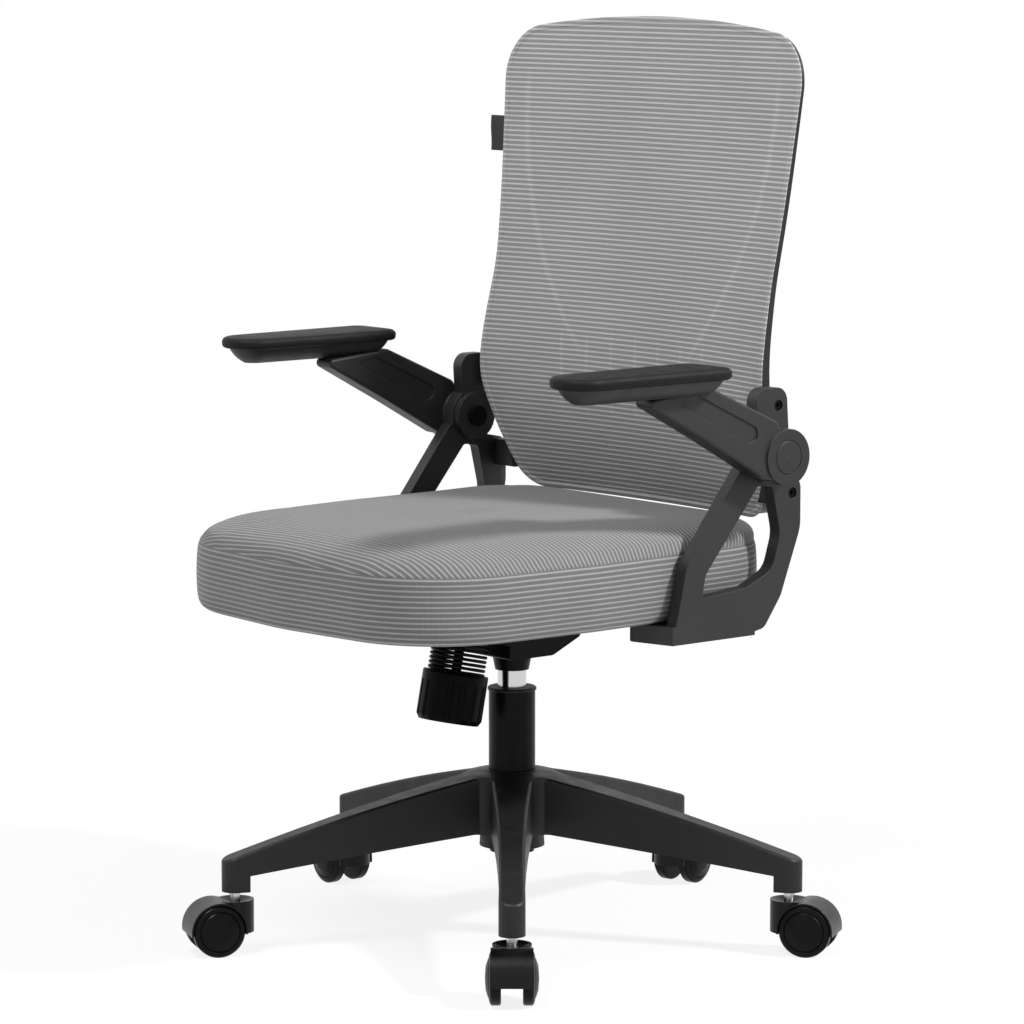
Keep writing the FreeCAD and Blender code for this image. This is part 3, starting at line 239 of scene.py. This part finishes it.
def band(s, distance, width):
    """One on a line, falling to nothing at the width."""
    return s.spread(s.math("ABSOLUTE", distance), 1.0, 0.0, 0.0, width)


def painted_strut_highlights(s):
    """Painted highlights: faint paler lines on the net where the edges of the frame's struts and the lumbar
    ribs behind it catch the light.
    """
    x = s.axis("X")
    z = s.math("SUBTRACT", s.axis("Z"), PAN)
    rise = s.spread(z, 1.0, 0.0, 0.235, 0.515)
    strut = s.math("SUBTRACT", 0.190, s.math("MULTIPLY", s.math("POWER", rise, 2.2), 0.110))
    # Painted highlight along each strut edge behind the net
    strut_highlight = band(s, s.math("SUBTRACT", s.math("ABSOLUTE", x), strut), 0.006)
    above = s.spread(z, 0.0, 1.0, 0.225, 0.250)
    below = s.spread(z, 1.0, 0.0, 0.500, 0.540)
    strut_highlight = s.math("MULTIPLY", strut_highlight, s.math("MULTIPLY", above, below))
    # Painted highlights along the lumbar ribs behind the net
    rib_highlight = s.math("COSINE", s.math("MULTIPLY", x, 2 * math.pi / 0.036))
    rib_highlight = s.math("MULTIPLY", s.spread(rib_highlight, 0.0, 1.0, 0.90, 0.99), s.spread(z, 0.0, 1.0, 0.165, 0.185))
    rib_highlight = s.math("MULTIPLY", rib_highlight, s.spread(z, 1.0, 0.0, 0.245, 0.262))
    rib_highlight = s.math("MULTIPLY", rib_highlight, s.spread(s.math("ABSOLUTE", x), 1.0, 0.0, 0.125, 0.140))
    return s.math("ADD", 1.0, s.math("ADD", s.math("MULTIPLY", strut_highlight, 0.16), s.math("MULTIPLY", rib_highlight, 0.12)))


def striped(name, letter, across, base, line, share=0.36, strength=0.6, clear=0.0, behind=False):
    """Knitted cloth: raised pale threads on a darker net, at the stripe pitch along one direction."""
    s = Shader(name)
    along = s.place(letter)
    turn = s.math("MULTIPLY", along, 2 * math.pi / STRIPE)
    wobble = s.math("MULTIPLY", s.noise(30.0, 2.0), 0.35)
    wave = s.math("SINE", s.math("ADD", turn, wobble))
    thread = s.spread(wave, 0.0, 1.0, 1 - 2 * share - 0.25, 1 - 2 * share + 0.55)
    side = s.math("SINE", s.math("MULTIPLY", s.place(across), 2 * math.pi / KNIT))
    knit = s.spread(side, 0.88, 1.0, -1.0, 1.0)
    cloudy = s.spread(s.noise(6.0, 2.0), 0.95, 1.04)
    colour = s.mix(thread, base, line)
    shade = s.math("MULTIPLY", knit, cloudy)
    # Painted highlights of the struts and ribs behind the net lighten the cloth's colour here
    if behind:
        shade = s.math("MULTIPLY", shade, painted_strut_highlights(s))
    tint = s.add("ShaderNodeMix", data_type="RGBA", blend_type="MULTIPLY")
    tint.inputs[0].default_value = 1.0
    s.link(colour, tint.inputs[6])
    s.link(shade, tint.inputs[7])
    height = s.math("ADD", thread, s.math("MULTIPLY", side, 0.12))
    s.bump(height, strength, 0.0006)
    s.set(Base_Color=tint.outputs[2], Roughness=s.spread(thread, 0.92, 0.78, 0.0, 1.0))
    if clear:
        net = s.math("MULTIPLY", s.math("SUBTRACT", 1.0, thread), s.spread(side, 0.0, 1.0, -0.2, 0.6))
        s.set(Alpha=s.math("SUBTRACT", 1.0, s.math("MULTIPLY", net, clear)))
    s.bsdf.inputs["Sheen Weight"].default_value = 0.12
    s.bsdf.inputs["Sheen Roughness"].default_value = 0.5
    return s.mat


# The back net's greys are about twice the seat's though the two cloths look alike: the difference is painted
# light, standing in for the brighter light on the back
SEAT_GREY = (0.111, 0.111, 0.113)
SEAT_LINE = (0.250, 0.250, 0.253)
BACK_GREY_PAINTED_LIGHTER = (0.267, 0.267, 0.270)
BACK_LINE_PAINTED_LIGHTER = (0.500, 0.500, 0.505)

nylon = moulded("nylon_black", 0.008, 0.012, 0.46, shine=0.27)
arm_black = moulded("arm_black", 0.0095, 0.0135, 0.48, shine=0.38)
caster_black = moulded("caster_black", 0.0012, 0.0022, 0.30, shine=0.2, edge=0.0008)
tread_black = moulded("tread_black", 0.0010, 0.0018, 0.34, shine=0.12, edge=0.0008)
# The knob's near-black, far darker than the other black plastics, is partly its black plastic and partly
# painted shade from the seat above it
knob_black_and_painted_shade = moulded("knob_black_and_painted_shade", 0.0006, 0.0010, 0.34, shine=0.06, edge=0.0008)
steel_black = moulded("steel_black", 0.0012, 0.0024, 0.34, 500.0, shine=0.1, edge=0.0008)
rubber = moulded("rubber_black", 0.010, 0.015, 0.70)
pad_skin = moulded("pad_skin", 0.006, 0.009, 0.55, 700.0, 0.00012, 0.12, 0.0)
chrome = metal("chrome", 0.66, 0.16, (40, 40, 1))
bright = metal("bright_steel", 0.62, 0.26, (1, 1, 30))
seat_top = striped("seat_top_cloth", "cloth_run", "cloth_side", SEAT_GREY, SEAT_LINE, 0.34)
seat_band = striped("seat_band_cloth", "Z", "cloth_round", SEAT_GREY, SEAT_LINE, 0.34)
# The last argument adds the painted strut and rib highlights to the back net
back_cloth = striped("back_net", "Z", "X", BACK_GREY_PAINTED_LIGHTER, BACK_LINE_PAINTED_LIGHTER, 0.34, 0.5, 0.16, True)
# The hem's greys carry the same painted extra light as the back net
hem_cloth = striped("back_hem_cloth", "Z", "X", (0.27, 0.27, 0.273), (0.50, 0.50, 0.505), 0.40)


def tag_material():
    s = Shader("tag_cloth")
    ribs = s.math("SINE", s.math("MULTIPLY", s.axis("Z"), 2 * math.pi / 0.0011))
    warp = s.math("SINE", s.math("MULTIPLY", s.axis("X"), 2 * math.pi / 0.0009))
    weave = s.math("MULTIPLY", ribs, warp)
    s.bump(weave, 0.5, 0.00015)
    return s.set(Base_Color=s.ramp(weave, (0.006,) * 3, (0.016,) * 3), Roughness=0.75)


def plywood_material():
    s = Shader("plywood")
    plies = s.math("SINE", s.math("MULTIPLY", s.axis("Z"), 2 * math.pi / 0.0024))
    grain = s.noise(30.0, 4.0, (1, 14, 1))
    s.bump(grain, 0.2, 0.0002)
    tone = s.math("ADD", grain, s.math("MULTIPLY", plies, 0.15))
    return s.set(Base_Color=s.ramp(tone, (0.020, 0.019, 0.018), (0.045, 0.042, 0.038)), Roughness=0.7)


tag_cloth = tag_material()
plywood = plywood_material()

NODE_MATERIALS = {
    "star_base": nylon, "stand_tube": steel_black, "guide_bush": nylon, "thrust_bearing": bright,
    "retaining_clip": bright, "piston_rod": bright, "bump_stop": rubber, "gas_cylinder": chrome,
    "valve_pin": bright, "cone_socket": steel_black, "mechanism_housing": steel_black, "pivot_axle": bright,
    "lock_slide": bright, "lift_lever": steel_black, "lever_grip": nylon, "seat_plate": steel_black,
    "tension_bolt": steel_black, "tension_spring": steel_black, "spring_plate": steel_black,
    "tension_knob": knob_black_and_painted_shade, "seat_pan": plywood, "seat_bolts": steel_black,
    "bracket_bolts": steel_black, "arm_pivot_bolts": steel_black,
    "back_frame": nylon, "lumbar_support": nylon, "back_screws": steel_black,
}
for side in ("left", "right"):
    NODE_MATERIALS["arm_bracket_" + side] = arm_black
    NODE_MATERIALS["arm_beam_" + side] = arm_black
    NODE_MATERIALS["pivot_cap_" + side] = arm_black
    NODE_MATERIALS["pad_support_" + side] = arm_black
for k in range(1, 6):
    NODE_MATERIALS["caster_%d_hood" % k] = caster_black
    NODE_MATERIALS["caster_%d_pins" % k] = bright
    for side in ("left", "right"):
        NODE_MATERIALS["caster_%d_wheel_%s" % (k, side)] = tread_black
for name, material in NODE_MATERIALS.items():
    mesh = nodes[name].data
    mesh.materials.clear()
    mesh.materials.append(material)


# Shapes

def rounded(points, radii, step=2.0):
    """Closed loop with an arc at each corner, as an array of 2-D points."""
    points = [Vector(p) for p in points]
    loop = []
    for i, corner in enumerate(points):
        before = (points[i - 1] - corner).normalized()
        after = (points[(i + 1) % len(points)] - corner).normalized()
        half = before.angle(after) / 2
        radius = radii[i]
        start = corner + before * (radius / math.tan(half))
        centre = corner + (before + after).normalized() * (radius / math.sin(half))
        a0 = math.atan2(start.y - centre.y, start.x - centre.x)
        end = corner + after * (radius / math.tan(half))
        a1 = math.atan2(end.y - centre.y, end.x - centre.x)
        sweep = (a1 - a0 + math.pi) % (2 * math.pi) - math.pi
        count = max(2, int(abs(sweep) * radius / step))
        for k in range(count + 1):
            a = a0 + sweep * k / count
            loop.append((centre.x + radius * math.cos(a), centre.y + radius * math.sin(a)))
    return np.array(loop)


def even(loop, count, start):
    """The loop again with evenly spaced points, beginning nearest to start."""
    first = int(np.argmin(np.linalg.norm(loop - np.array(start), axis=1)))
    loop = np.roll(loop, -first, axis=0)
    closed = np.vstack([loop, loop[:1]])
    length = np.concatenate([[0], np.cumsum(np.linalg.norm(np.diff(closed, axis=0), axis=1))])
    at = np.linspace(0, length[-1], count, endpoint=False)
    return np.stack([np.interp(at, length, closed[:, k]) for k in (0, 1)], axis=1)


def new_piece(name, verts, faces, materials, smooth=True):
    mesh = bpy.data.meshes.new(name)
    mesh.from_pydata([tuple(v) for v in verts], [], faces)
    mesh.validate()
    for m in materials:
        mesh.materials.append(m)
    if smooth:
        mesh.polygons.foreach_set("use_smooth", [True] * len(mesh.polygons))
    obj = bpy.data.objects.new(name, mesh)
    bpy.context.scene.collection.objects.link(obj)
    return obj


def loft_faces(ring_count, size, closed_start, closed_end):
    """Quads between rings of one size, with a fan to the vertex before the first or after the last ring."""
    faces = []
    for r in range(ring_count - 1):
        for k in range(size):
            n = (k + 1) % size
            faces.append((r * size + k, r * size + n, (r + 1) * size + n, (r + 1) * size + k))
    total = ring_count * size
    if closed_start:
        faces += [((k + 1) % size, k, total) for k in range(size)]
        total += 1
    if closed_end:
        base = (ring_count - 1) * size
        faces += [(base + k, base + (k + 1) % size, total) for k in range(size)]
    return faces


def subdivide(obj, levels):
    mod = obj.modifiers.new("smooth", "SUBSURF")
    mod.levels = levels
    mod.render_levels = levels


# Seat

def seat_loop(inset, count):
    half = SEAT_HALF - inset
    front = SEAT_FRONT - inset
    rear = SEAT_REAR - inset
    corners = [
        (0, -front - 8), (half - 10, -front + 10), (half, -front * 0.25), (half - 8, rear),
        (8 - half, rear), (-half, -front * 0.25), (10 - half, -front + 10),
    ]
    fc = max(SEAT_FRONT_CORNER - inset * 0.8, 20)
    rc = max(SEAT_REAR_CORNER - inset * 0.8, 16)
    loop = rounded(corners, [260, fc, 300, rc, rc, 300, fc])
    return even(loop, count, (0, -front - 4))


def swell(obj, held, limit):
    """Puffs a cover out as cloth under slight pressure, with every point's movement limited."""
    obj.vertex_groups.new(name="held").add(held, 1.0, "REPLACE")
    mod = obj.modifiers.new("swell", "CLOTH")
    mod.settings.quality = 6
    mod.settings.use_pressure = True
    mod.settings.uniform_pressure_force = SWELL_PRESSURE
    mod.settings.effector_weights.gravity = 0.0
    mod.settings.vertex_group_mass = "held"
    mod.collision_settings.use_collision = False
    mod.point_cache.frame_start = 1
    mod.point_cache.frame_end = SWELL_FRAMES
    scene = bpy.context.scene
    for frame_number in range(1, SWELL_FRAMES + 1):
        scene.frame_set(frame_number)
    moved = obj.evaluated_get(bpy.context.evaluated_depsgraph_get())
    rest = np.array([v.co for v in obj.data.vertices])
    step = np.array([v.co for v in moved.data.vertices]) - rest
    length = np.linalg.norm(step, axis=1)[:, None]
    step *= limit / (length + limit)
    obj.modifiers.remove(mod)
    obj.vertex_groups.clear()
    obj.data.vertices.foreach_set("co", (rest + step).ravel())
    obj.data.update()
    scene.frame_set(1)


def lay_cloth(obj, rings, flat_ring, top_ring):
    """Keeps with the mesh how far each point lies along and across the cloth, and round the band."""
    flat = np.array(rings[flat_ring])
    outward = np.array(rings[top_ring])[:, :2] - flat[:, :2]
    outward /= np.linalg.norm(outward, axis=1)[:, None]
    laid = []
    reach = np.zeros(len(flat))
    last = flat
    for r in range(flat_ring, -1, -1):
        ring = np.array(rings[r])
        reach = reach + np.linalg.norm(ring - last, axis=1)
        last = ring
        laid.insert(0, flat[:, :2] + outward * reach[:, None])
    laid += [np.array(ring)[:, :2] for ring in rings[flat_ring + 1:]]
    laid.append(np.zeros((1, 2)))
    laid.append(np.array([[0.0, SEAT_MIDDLE_Y]]))
    laid = np.vstack(laid)
    edge = np.array(rings[top_ring])
    walk = np.concatenate([[0], np.cumsum(np.linalg.norm(np.diff(edge, axis=0), axis=1))])
    walk = np.minimum(walk, walk[-1] - walk)
    walk = np.concatenate([np.tile(walk, len(rings)), [0, 0]])
    for name, values in (("cloth_side", laid[:, 0]), ("cloth_run", laid[:, 1]), ("cloth_round", walk)):
        obj.data.attributes.new(name, "FLOAT", "POINT").data.foreach_set("value", values.astype(np.float32))


def seat_cover():
    """Foam cushion in striped cloth: a boxed band, a sewn edge and a crowned top."""
    count = 220
    profile = [
        (19.6, 12.4), (19.6, 0.4), (13.0, 0.2), (7.0, 1.8), (3.2, 6.0), (1.4, 13.0), (0.8, 24.0), (0.6, 37.0),
        (1.0, 50.0), (1.7, 59.0), (2.2, 63.5), (2.8, 65.6), (3.9, SEAM_HEIGHT), (3.4, 68.4), (4.0, 70.4),
        (6.0, 75.0), (9.5, 79.4), (15.0, 83.4), (23.0, 86.6), (34.0, 88.9),
        (50.0, 90.5), (75.0, 91.6), (105.0, 92.2),
    ]
    # Heights that the rear rim has instead, so that it fills the space below the back
    fuller = {
        68.4: 71.5, 70.4: 75.0, 75.0: 79.5, 79.4: 82.6, 83.4: 85.2,
        86.6: 88.6, 88.9: 91.0, 90.5: 91.8, 91.6: 92.1,
    }
    rings = []
    for inset, height in profile:
        loop = seat_loop(inset, count)
        behind = np.clip((loop[:, 1] - 60.0) / 90.0, 0, 1)
        behind = behind * behind * (3 - 2 * behind)
        heights = height + (fuller.get(height, height) - height) * behind
        rings.append([(x * MM, y * MM, PAN + h * MM) for (x, y), h in zip(loop, heights)])
    last = np.array(rings[-1])
    centre = np.array([0.0, SEAT_MIDDLE_Y, PAN + 92.8 * MM])
    for share in (0.8, 0.6, 0.4, 0.2):
        ring = centre + (last - centre) * share
        ring[:, 2] = centre[2] - (centre[2] - last[0, 2]) * share ** 2
        rings.append([tuple(p) for p in ring])
    verts = [p for ring in rings for p in ring]
    faces = loft_faces(len(rings), count, True, True)
    verts += [(0.0, SEAT_MIDDLE_Y, PAN + 12.4 * MM), tuple(centre)]
    obj = new_piece("seat_cover", verts, faces, [seat_band, seat_top])
    seam_ring = [k for k, (i, h) in enumerate(profile) if h == SEAM_HEIGHT][0]
    for face in obj.data.polygons:
        if min(face.vertices) >= seam_ring * count and max(face.vertices) != len(rings) * count:
            face.material_index = 1
    fixed = [0, 1, 2, 3] + list(range(seam_ring - 1, seam_ring + 2))
    held = [r * count + k for r in fixed for k in range(count)] + [len(rings) * count]
    pinned = set(held)
    held += [k for k, v in enumerate(verts) if v[1] > HELD_BEHIND and k not in pinned]
    lay_cloth(obj, rings, SEAT_FLAT_RING, seam_ring)
    swell(obj, held, SWELL_LIMIT)
    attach(obj, "seat_unit")
    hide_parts("seat_cushion")
    subdivide(obj, 1)
    return obj


# Arm pads

def arm_pad(side):
    low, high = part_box("arm_pad_" + side)
    middle = (low.x + high.x) / 2 / MM
    half = (high.x - low.x) / 2 / MM
    front = low.y / MM
    rear = high.y / MM
    tall = (high.z - low.z) / MM
    count = 120
    profile = [
        (7.0, 0.0), (3.0, 0.1), (0.9, 1.3), (0.1, 3.4), (0.0, tall - 5.6),
        (0.5, tall - 3.4), (1.8, tall - 1.6),
        (4.2, tall - 0.5), (8.0, tall - 0.1), (14.0, tall + 0.2), (21.0, tall + 0.5),
    ]
    rings = []
    for inset, height in profile:
        w = half - inset
        corners = [
            (middle - w + 4, front + inset), (middle + w - 4, front + inset),
            (middle + w, rear - inset), (middle - w, rear - inset),
        ]
        nose = w * 0.82
        tail = max(12 - inset * 0.5, 3)
        loop = even(rounded(corners, [nose, nose, tail, tail], 1.0), count, (middle, front + inset))
        rings.append([(x * MM, y * MM, low.z + height * MM) for x, y in loop])
    verts = [p for ring in rings for p in ring]
    faces = loft_faces(len(rings), count, True, True)
    first, last = np.mean(rings[0], axis=0), np.mean(rings[-1], axis=0)
    verts += [tuple(first), tuple(last)]
    obj = new_piece("arm_pad_skin_" + side, verts, faces, [pad_skin])
    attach(obj, "arm_" + side)
    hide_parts("arm_pad_" + side)
    subdivide(obj, 1)
    return obj


# Back

back_tree = BVHTree.FromPolygons(
    [v.co for v in nodes["back_mesh"].data.vertices], [p.vertices for p in nodes["back_mesh"].data.polygons]
)


def back_y(x, z):
    """Place of the front of the back's net."""
    for pull in (1.0, 0.995, 0.985, 0.97, 0.94):
        hit = back_tree.ray_cast(Vector((x * pull, -0.5, z)), Vector((0, 1, 0)))
        if hit[0] is not None:
            return hit[0].y
    return back_tree.find_nearest(Vector((x, 0.17, z)))[0].y


def back_loop(step=1.5):
    points = [(x, z) for x, z, r in BACK_OUTLINE]
    radii = [r for x, z, r in BACK_OUTLINE]
    left = [(-x, z) for x, z in reversed(points[:-1])]
    return rounded(points + left, radii + list(reversed(radii[:-1])), step)


def half_width(loop, z):
    """Half width of the back at a height, from its outline."""
    right = loop[loop[:, 0] >= 0]
    right = right[np.argsort(np.arctan2(right[:, 1] - 300, right[:, 0]))]
    return float(np.interp(z, right[:, 1], right[:, 0]))


def back_net():
    """Stretched net over the back, laid on the front of the solid."""
    loop = back_loop()
    low, high = loop[:, 1].min(), loop[:, 1].max()
    columns = NET_COLUMNS
    rows = NET_ROWS
    share = np.linspace(0, 1, rows)
    heights = low + (high - low) * (share + 0.06 * np.sin(2 * math.pi * share) / (2 * math.pi) * -1)
    verts = []
    faces = []
    for z in heights:
        z = min(max(z, low + 0.3), high - 0.15)
        w = half_width(loop, z) - 0.6
        for c in range(columns + 1):
            x = w * (2 * c / columns - 1)
            place = PAN + z * MM
            verts.append((x * MM, back_y(x * MM, place) + NET_SET, place))
    for r in range(rows - 1):
        for c in range(columns):
            k = r * (columns + 1) + c
            faces.append((k, k + 1, k + columns + 2, k + columns + 1))
    obj = new_piece("back_net", verts, faces, [back_cloth])
    mod = obj.modifiers.new("cloth", "SOLIDIFY")
    mod.thickness = NET_THICKNESS
    mod.offset = -1.0
    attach(obj, "seat_unit")
    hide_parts("back_mesh")
    return obj


def back_hem():
    """Folded edge band all round the net."""
    count = HEM_POINTS
    loop = even(back_loop(), count, (0, BACK_BOTTOM))
    ahead = np.roll(loop, -1, axis=0) - np.roll(loop, 1, axis=0)
    ahead /= np.linalg.norm(ahead, axis=1)[:, None]
    inward = np.stack([-ahead[:, 1], ahead[:, 0]], axis=1)
    section = [
        (6.2, 0.3), (5.6, -0.1), (3.6, -0.35), (1.2, -0.3), (0.1, 0.1), (-0.1, 0.7), (0.6, 1.3), (5.8, 1.3),
    ]
    verts = []
    size = len(section)
    for k in range(count):
        for inset, depth in section:
            x, z = loop[k] + inward[k] * inset
            ix, iz = loop[k] + inward[k] * max(inset, 1.6)
            y = back_y(ix * MM, PAN + iz * MM)
            verts.append((x * MM, y + depth * MM, PAN + z * MM))
    faces = []
    for k in range(count):
        n = (k + 1) % count
        for j in range(size):
            m = (j + 1) % size
            faces.append((k * size + j, n * size + j, n * size + m, k * size + m))
    obj = new_piece("back_hem", verts, faces, [hem_cloth])
    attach(obj, "seat_unit")
    return obj


def edge_tag():
    """Blank folded tag on the edge of the back."""
    low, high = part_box("edge_tag")
    wide, tall = 12, 20
    verts = []
    faces = []
    for side in (0, 1):
        for r in range(tall + 1):
            for c in range(wide + 1):
                u, v = c / wide, r / tall
                bow = math.sin(math.pi * (1 - u)) * 0.0006 + 0.0004 * math.sin(2.2 * math.pi * v)
                thick = (high.y - low.y) * (0.9 if 0 < c else 0.45)
                y = low.y + bow + side * thick
                verts.append((low.x + (high.x - low.x) * u, y, low.z + (high.z - low.z) * v))
    span = (tall + 1) * (wide + 1)
    grid = lambda s, r, c: s * span + r * (wide + 1) + c
    for r in range(tall):
        for c in range(wide):
            faces.append((grid(0, r, c), grid(0, r, c + 1), grid(0, r + 1, c + 1), grid(0, r + 1, c)))
            faces.append((grid(1, r, c), grid(1, r + 1, c), grid(1, r + 1, c + 1), grid(1, r, c + 1)))
    for r in range(tall):
        faces.append((grid(0, r + 1, 0), grid(1, r + 1, 0), grid(1, r, 0), grid(0, r, 0)))
        faces.append((grid(0, r, wide), grid(1, r, wide), grid(1, r + 1, wide), grid(0, r + 1, wide)))
    for c in range(wide):
        faces.append((grid(0, 0, c), grid(1, 0, c), grid(1, 0, c + 1), grid(0, 0, c + 1)))
        faces.append((grid(0, tall, c + 1), grid(1, tall, c + 1), grid(1, tall, c), grid(0, tall, c)))
    obj = new_piece("blank_tag", verts, faces, [tag_cloth])
    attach(obj, "seat_unit")
    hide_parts("edge_tag")
    return obj


def tilt_spring():
    """Coil spring between the housing and the spring plate."""
    lean = math.radians(BOLT_LEAN)
    top = np.array([0.0, -BOLT_Y * MM, PAN - BOLT_DROP * MM])
    down = np.array([0.0, -math.sin(lean), -math.cos(lean)])
    right = np.array([1.0, 0.0, 0.0])
    ahead = np.cross(-down, right)
    coil = SPRING_OUTER - SPRING_WIRE
    steps, sides = SPRING_TURNS * 48, 10
    rise = SPRING_PITCH / (2 * math.pi)
    verts = []
    for i in range(steps + 1):
        angle = 2 * math.pi * SPRING_TURNS * i / steps
        out = right * math.cos(angle) + ahead * math.sin(angle)
        along = (ahead * math.cos(angle) - right * math.sin(angle)) * coil + down * rise
        across = np.cross(along / np.linalg.norm(along), out)
        centre = out * coil + down * (SPRING_WIRE + SEAT_FIT + rise * angle)
        for k in range(sides):
            turn = 2 * math.pi * k / sides
            rim = (out * math.cos(turn) + across * math.sin(turn)) * SPRING_WIRE
            verts.append(tuple(top + (centre + rim) * MM))
    ends = [verts[:sides], verts[steps * sides:]]
    verts += [tuple(np.mean(ring, axis=0)) for ring in ends]
    obj = new_piece("tilt_spring", verts, loft_faces(steps + 1, sides, True, True), [steel_black])
    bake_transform(obj)
    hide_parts("tension_spring")
    return obj


tilt_spring()
seat_cover()
for side in ("left", "right"):
    arm_pad(side)
net = back_net()
hem = back_hem()
edge_tag()


# Stage, light and camera

def stage_floor():
    """Pale floor that takes the soft shadow near the chair and turns white further out."""
    mesh = bpy.data.meshes.new("floor")
    corners = [(x * FLOOR_HALF, y * FLOOR_HALF, 0) for x, y in ((-1, -1), (1, -1), (1, 1), (-1, 1))]
    mesh.from_pydata(corners, [], [(0, 1, 2, 3)])
    obj = bpy.data.objects.new("floor", mesh)
    bpy.context.scene.collection.objects.link(obj)
    s = Shader("pale_floor")
    plain = s.add("ShaderNodeBsdfDiffuse")
    plain.inputs["Color"].default_value = (0.92, 0.92, 0.92, 1)
    glow = s.add("ShaderNodeEmission")
    glow.inputs["Color"].default_value = (1, 1, 1, 1)
    far = s.add("ShaderNodeVectorMath", operation="LENGTH")
    s.link(s.where, far.inputs[0])
    white = s.spread(far.outputs["Value"], 0.86, 1.0, 0.45, 1.5)
    path = s.add("ShaderNodeLightPath").outputs
    looks = s.math("ADD", path["Is Camera Ray"], path["Is Glossy Ray"], clamp=True)
    looks = s.math("ADD", looks, path["Is Transmission Ray"], clamp=True)
    seen = s.math("MULTIPLY", looks, white)
    mix = s.add("ShaderNodeMixShader")
    s.link(seen, mix.inputs[0])
    s.link(plain.outputs[0], mix.inputs[1])
    s.link(glow.outputs[0], mix.inputs[2])
    s.link(mix.outputs[0], s.out.inputs[0])
    s.tree.nodes.remove(s.bsdf)
    mesh.materials.append(s.mat)


def area_light(name, azimuth, elevation, distance, size, power, target=(0, 0, 0.5)):
    a, e = math.radians(azimuth), math.radians(elevation)
    back = Vector((math.sin(a) * math.cos(e), -math.cos(a) * math.cos(e), math.sin(e)))
    data = bpy.data.lights.new(name, "AREA")
    data.shape = "DISK"
    data.size = size
    data.energy = power
    obj = bpy.data.objects.new(name, data)
    obj.location = Vector(target) + back * distance
    obj.rotation_mode = "QUATERNION"
    obj.rotation_quaternion = (-back).to_track_quat("-Z", "Y")
    bpy.context.scene.collection.objects.link(obj)
    return obj


def studio():
    area_light("key", 118, 40, LIGHT_DISTANCE, 0.5, 200)
    area_light("front", 8, 60, LIGHT_DISTANCE, 1.4, 130)
    area_light("left", -60, 25, LIGHT_DISTANCE, 2.4, 10)
    world = bpy.data.worlds.new("studio")
    bpy.context.scene.world = world
    world.use_nodes = True
    tree = world.node_tree
    tree.nodes.clear()
    out = tree.nodes.new("ShaderNodeOutputWorld")
    soft = tree.nodes.new("ShaderNodeBackground")
    soft.inputs["Color"].default_value = (1, 1, 1, 1)
    soft.inputs["Strength"].default_value = WORLD_SOFT
    white = tree.nodes.new("ShaderNodeBackground")
    white.inputs["Color"].default_value = (1, 1, 1, 1)
    white.inputs["Strength"].default_value = 1.0
    path = tree.nodes.new("ShaderNodeLightPath")
    looks = path.outputs["Is Camera Ray"]
    for kind in ("Is Glossy Ray", "Is Transmission Ray"):
        add = tree.nodes.new("ShaderNodeMath")
        add.operation = "ADD"
        add.use_clamp = True
        tree.links.new(looks, add.inputs[0])
        tree.links.new(path.outputs[kind], add.inputs[1])
        looks = add.outputs[0]
    mix = tree.nodes.new("ShaderNodeMixShader")
    tree.links.new(looks, mix.inputs[0])
    tree.links.new(soft.outputs[0], mix.inputs[1])
    tree.links.new(white.outputs[0], mix.inputs[2])
    tree.links.new(mix.outputs[0], out.inputs[0])


def photo_camera():
    a, e = math.radians(CAM_AZIMUTH), math.radians(CAM_PITCH)
    data = bpy.data.cameras.new("photo_camera")
    data.sensor_width = 36.0
    data.lens = CAM_FOCAL
    data.shift_y = CAM_SHIFT_Y
    obj = bpy.data.objects.new("photo_camera", data)
    obj.location = (math.sin(a) * CAM_DISTANCE, -math.cos(a) * CAM_DISTANCE, CAM_HEIGHT)
    ahead = Vector((-math.sin(a) * math.cos(e), math.cos(a) * math.cos(e), -math.sin(e)))
    obj.rotation_mode = "QUATERNION"
    obj.rotation_quaternion = ahead.to_track_quat("-Z", "Y")
    bpy.context.scene.collection.objects.link(obj)
    bpy.context.scene.camera = obj


stage_floor()
studio()
photo_camera()
bpy.context.scene.view_settings.view_transform = "Standard"
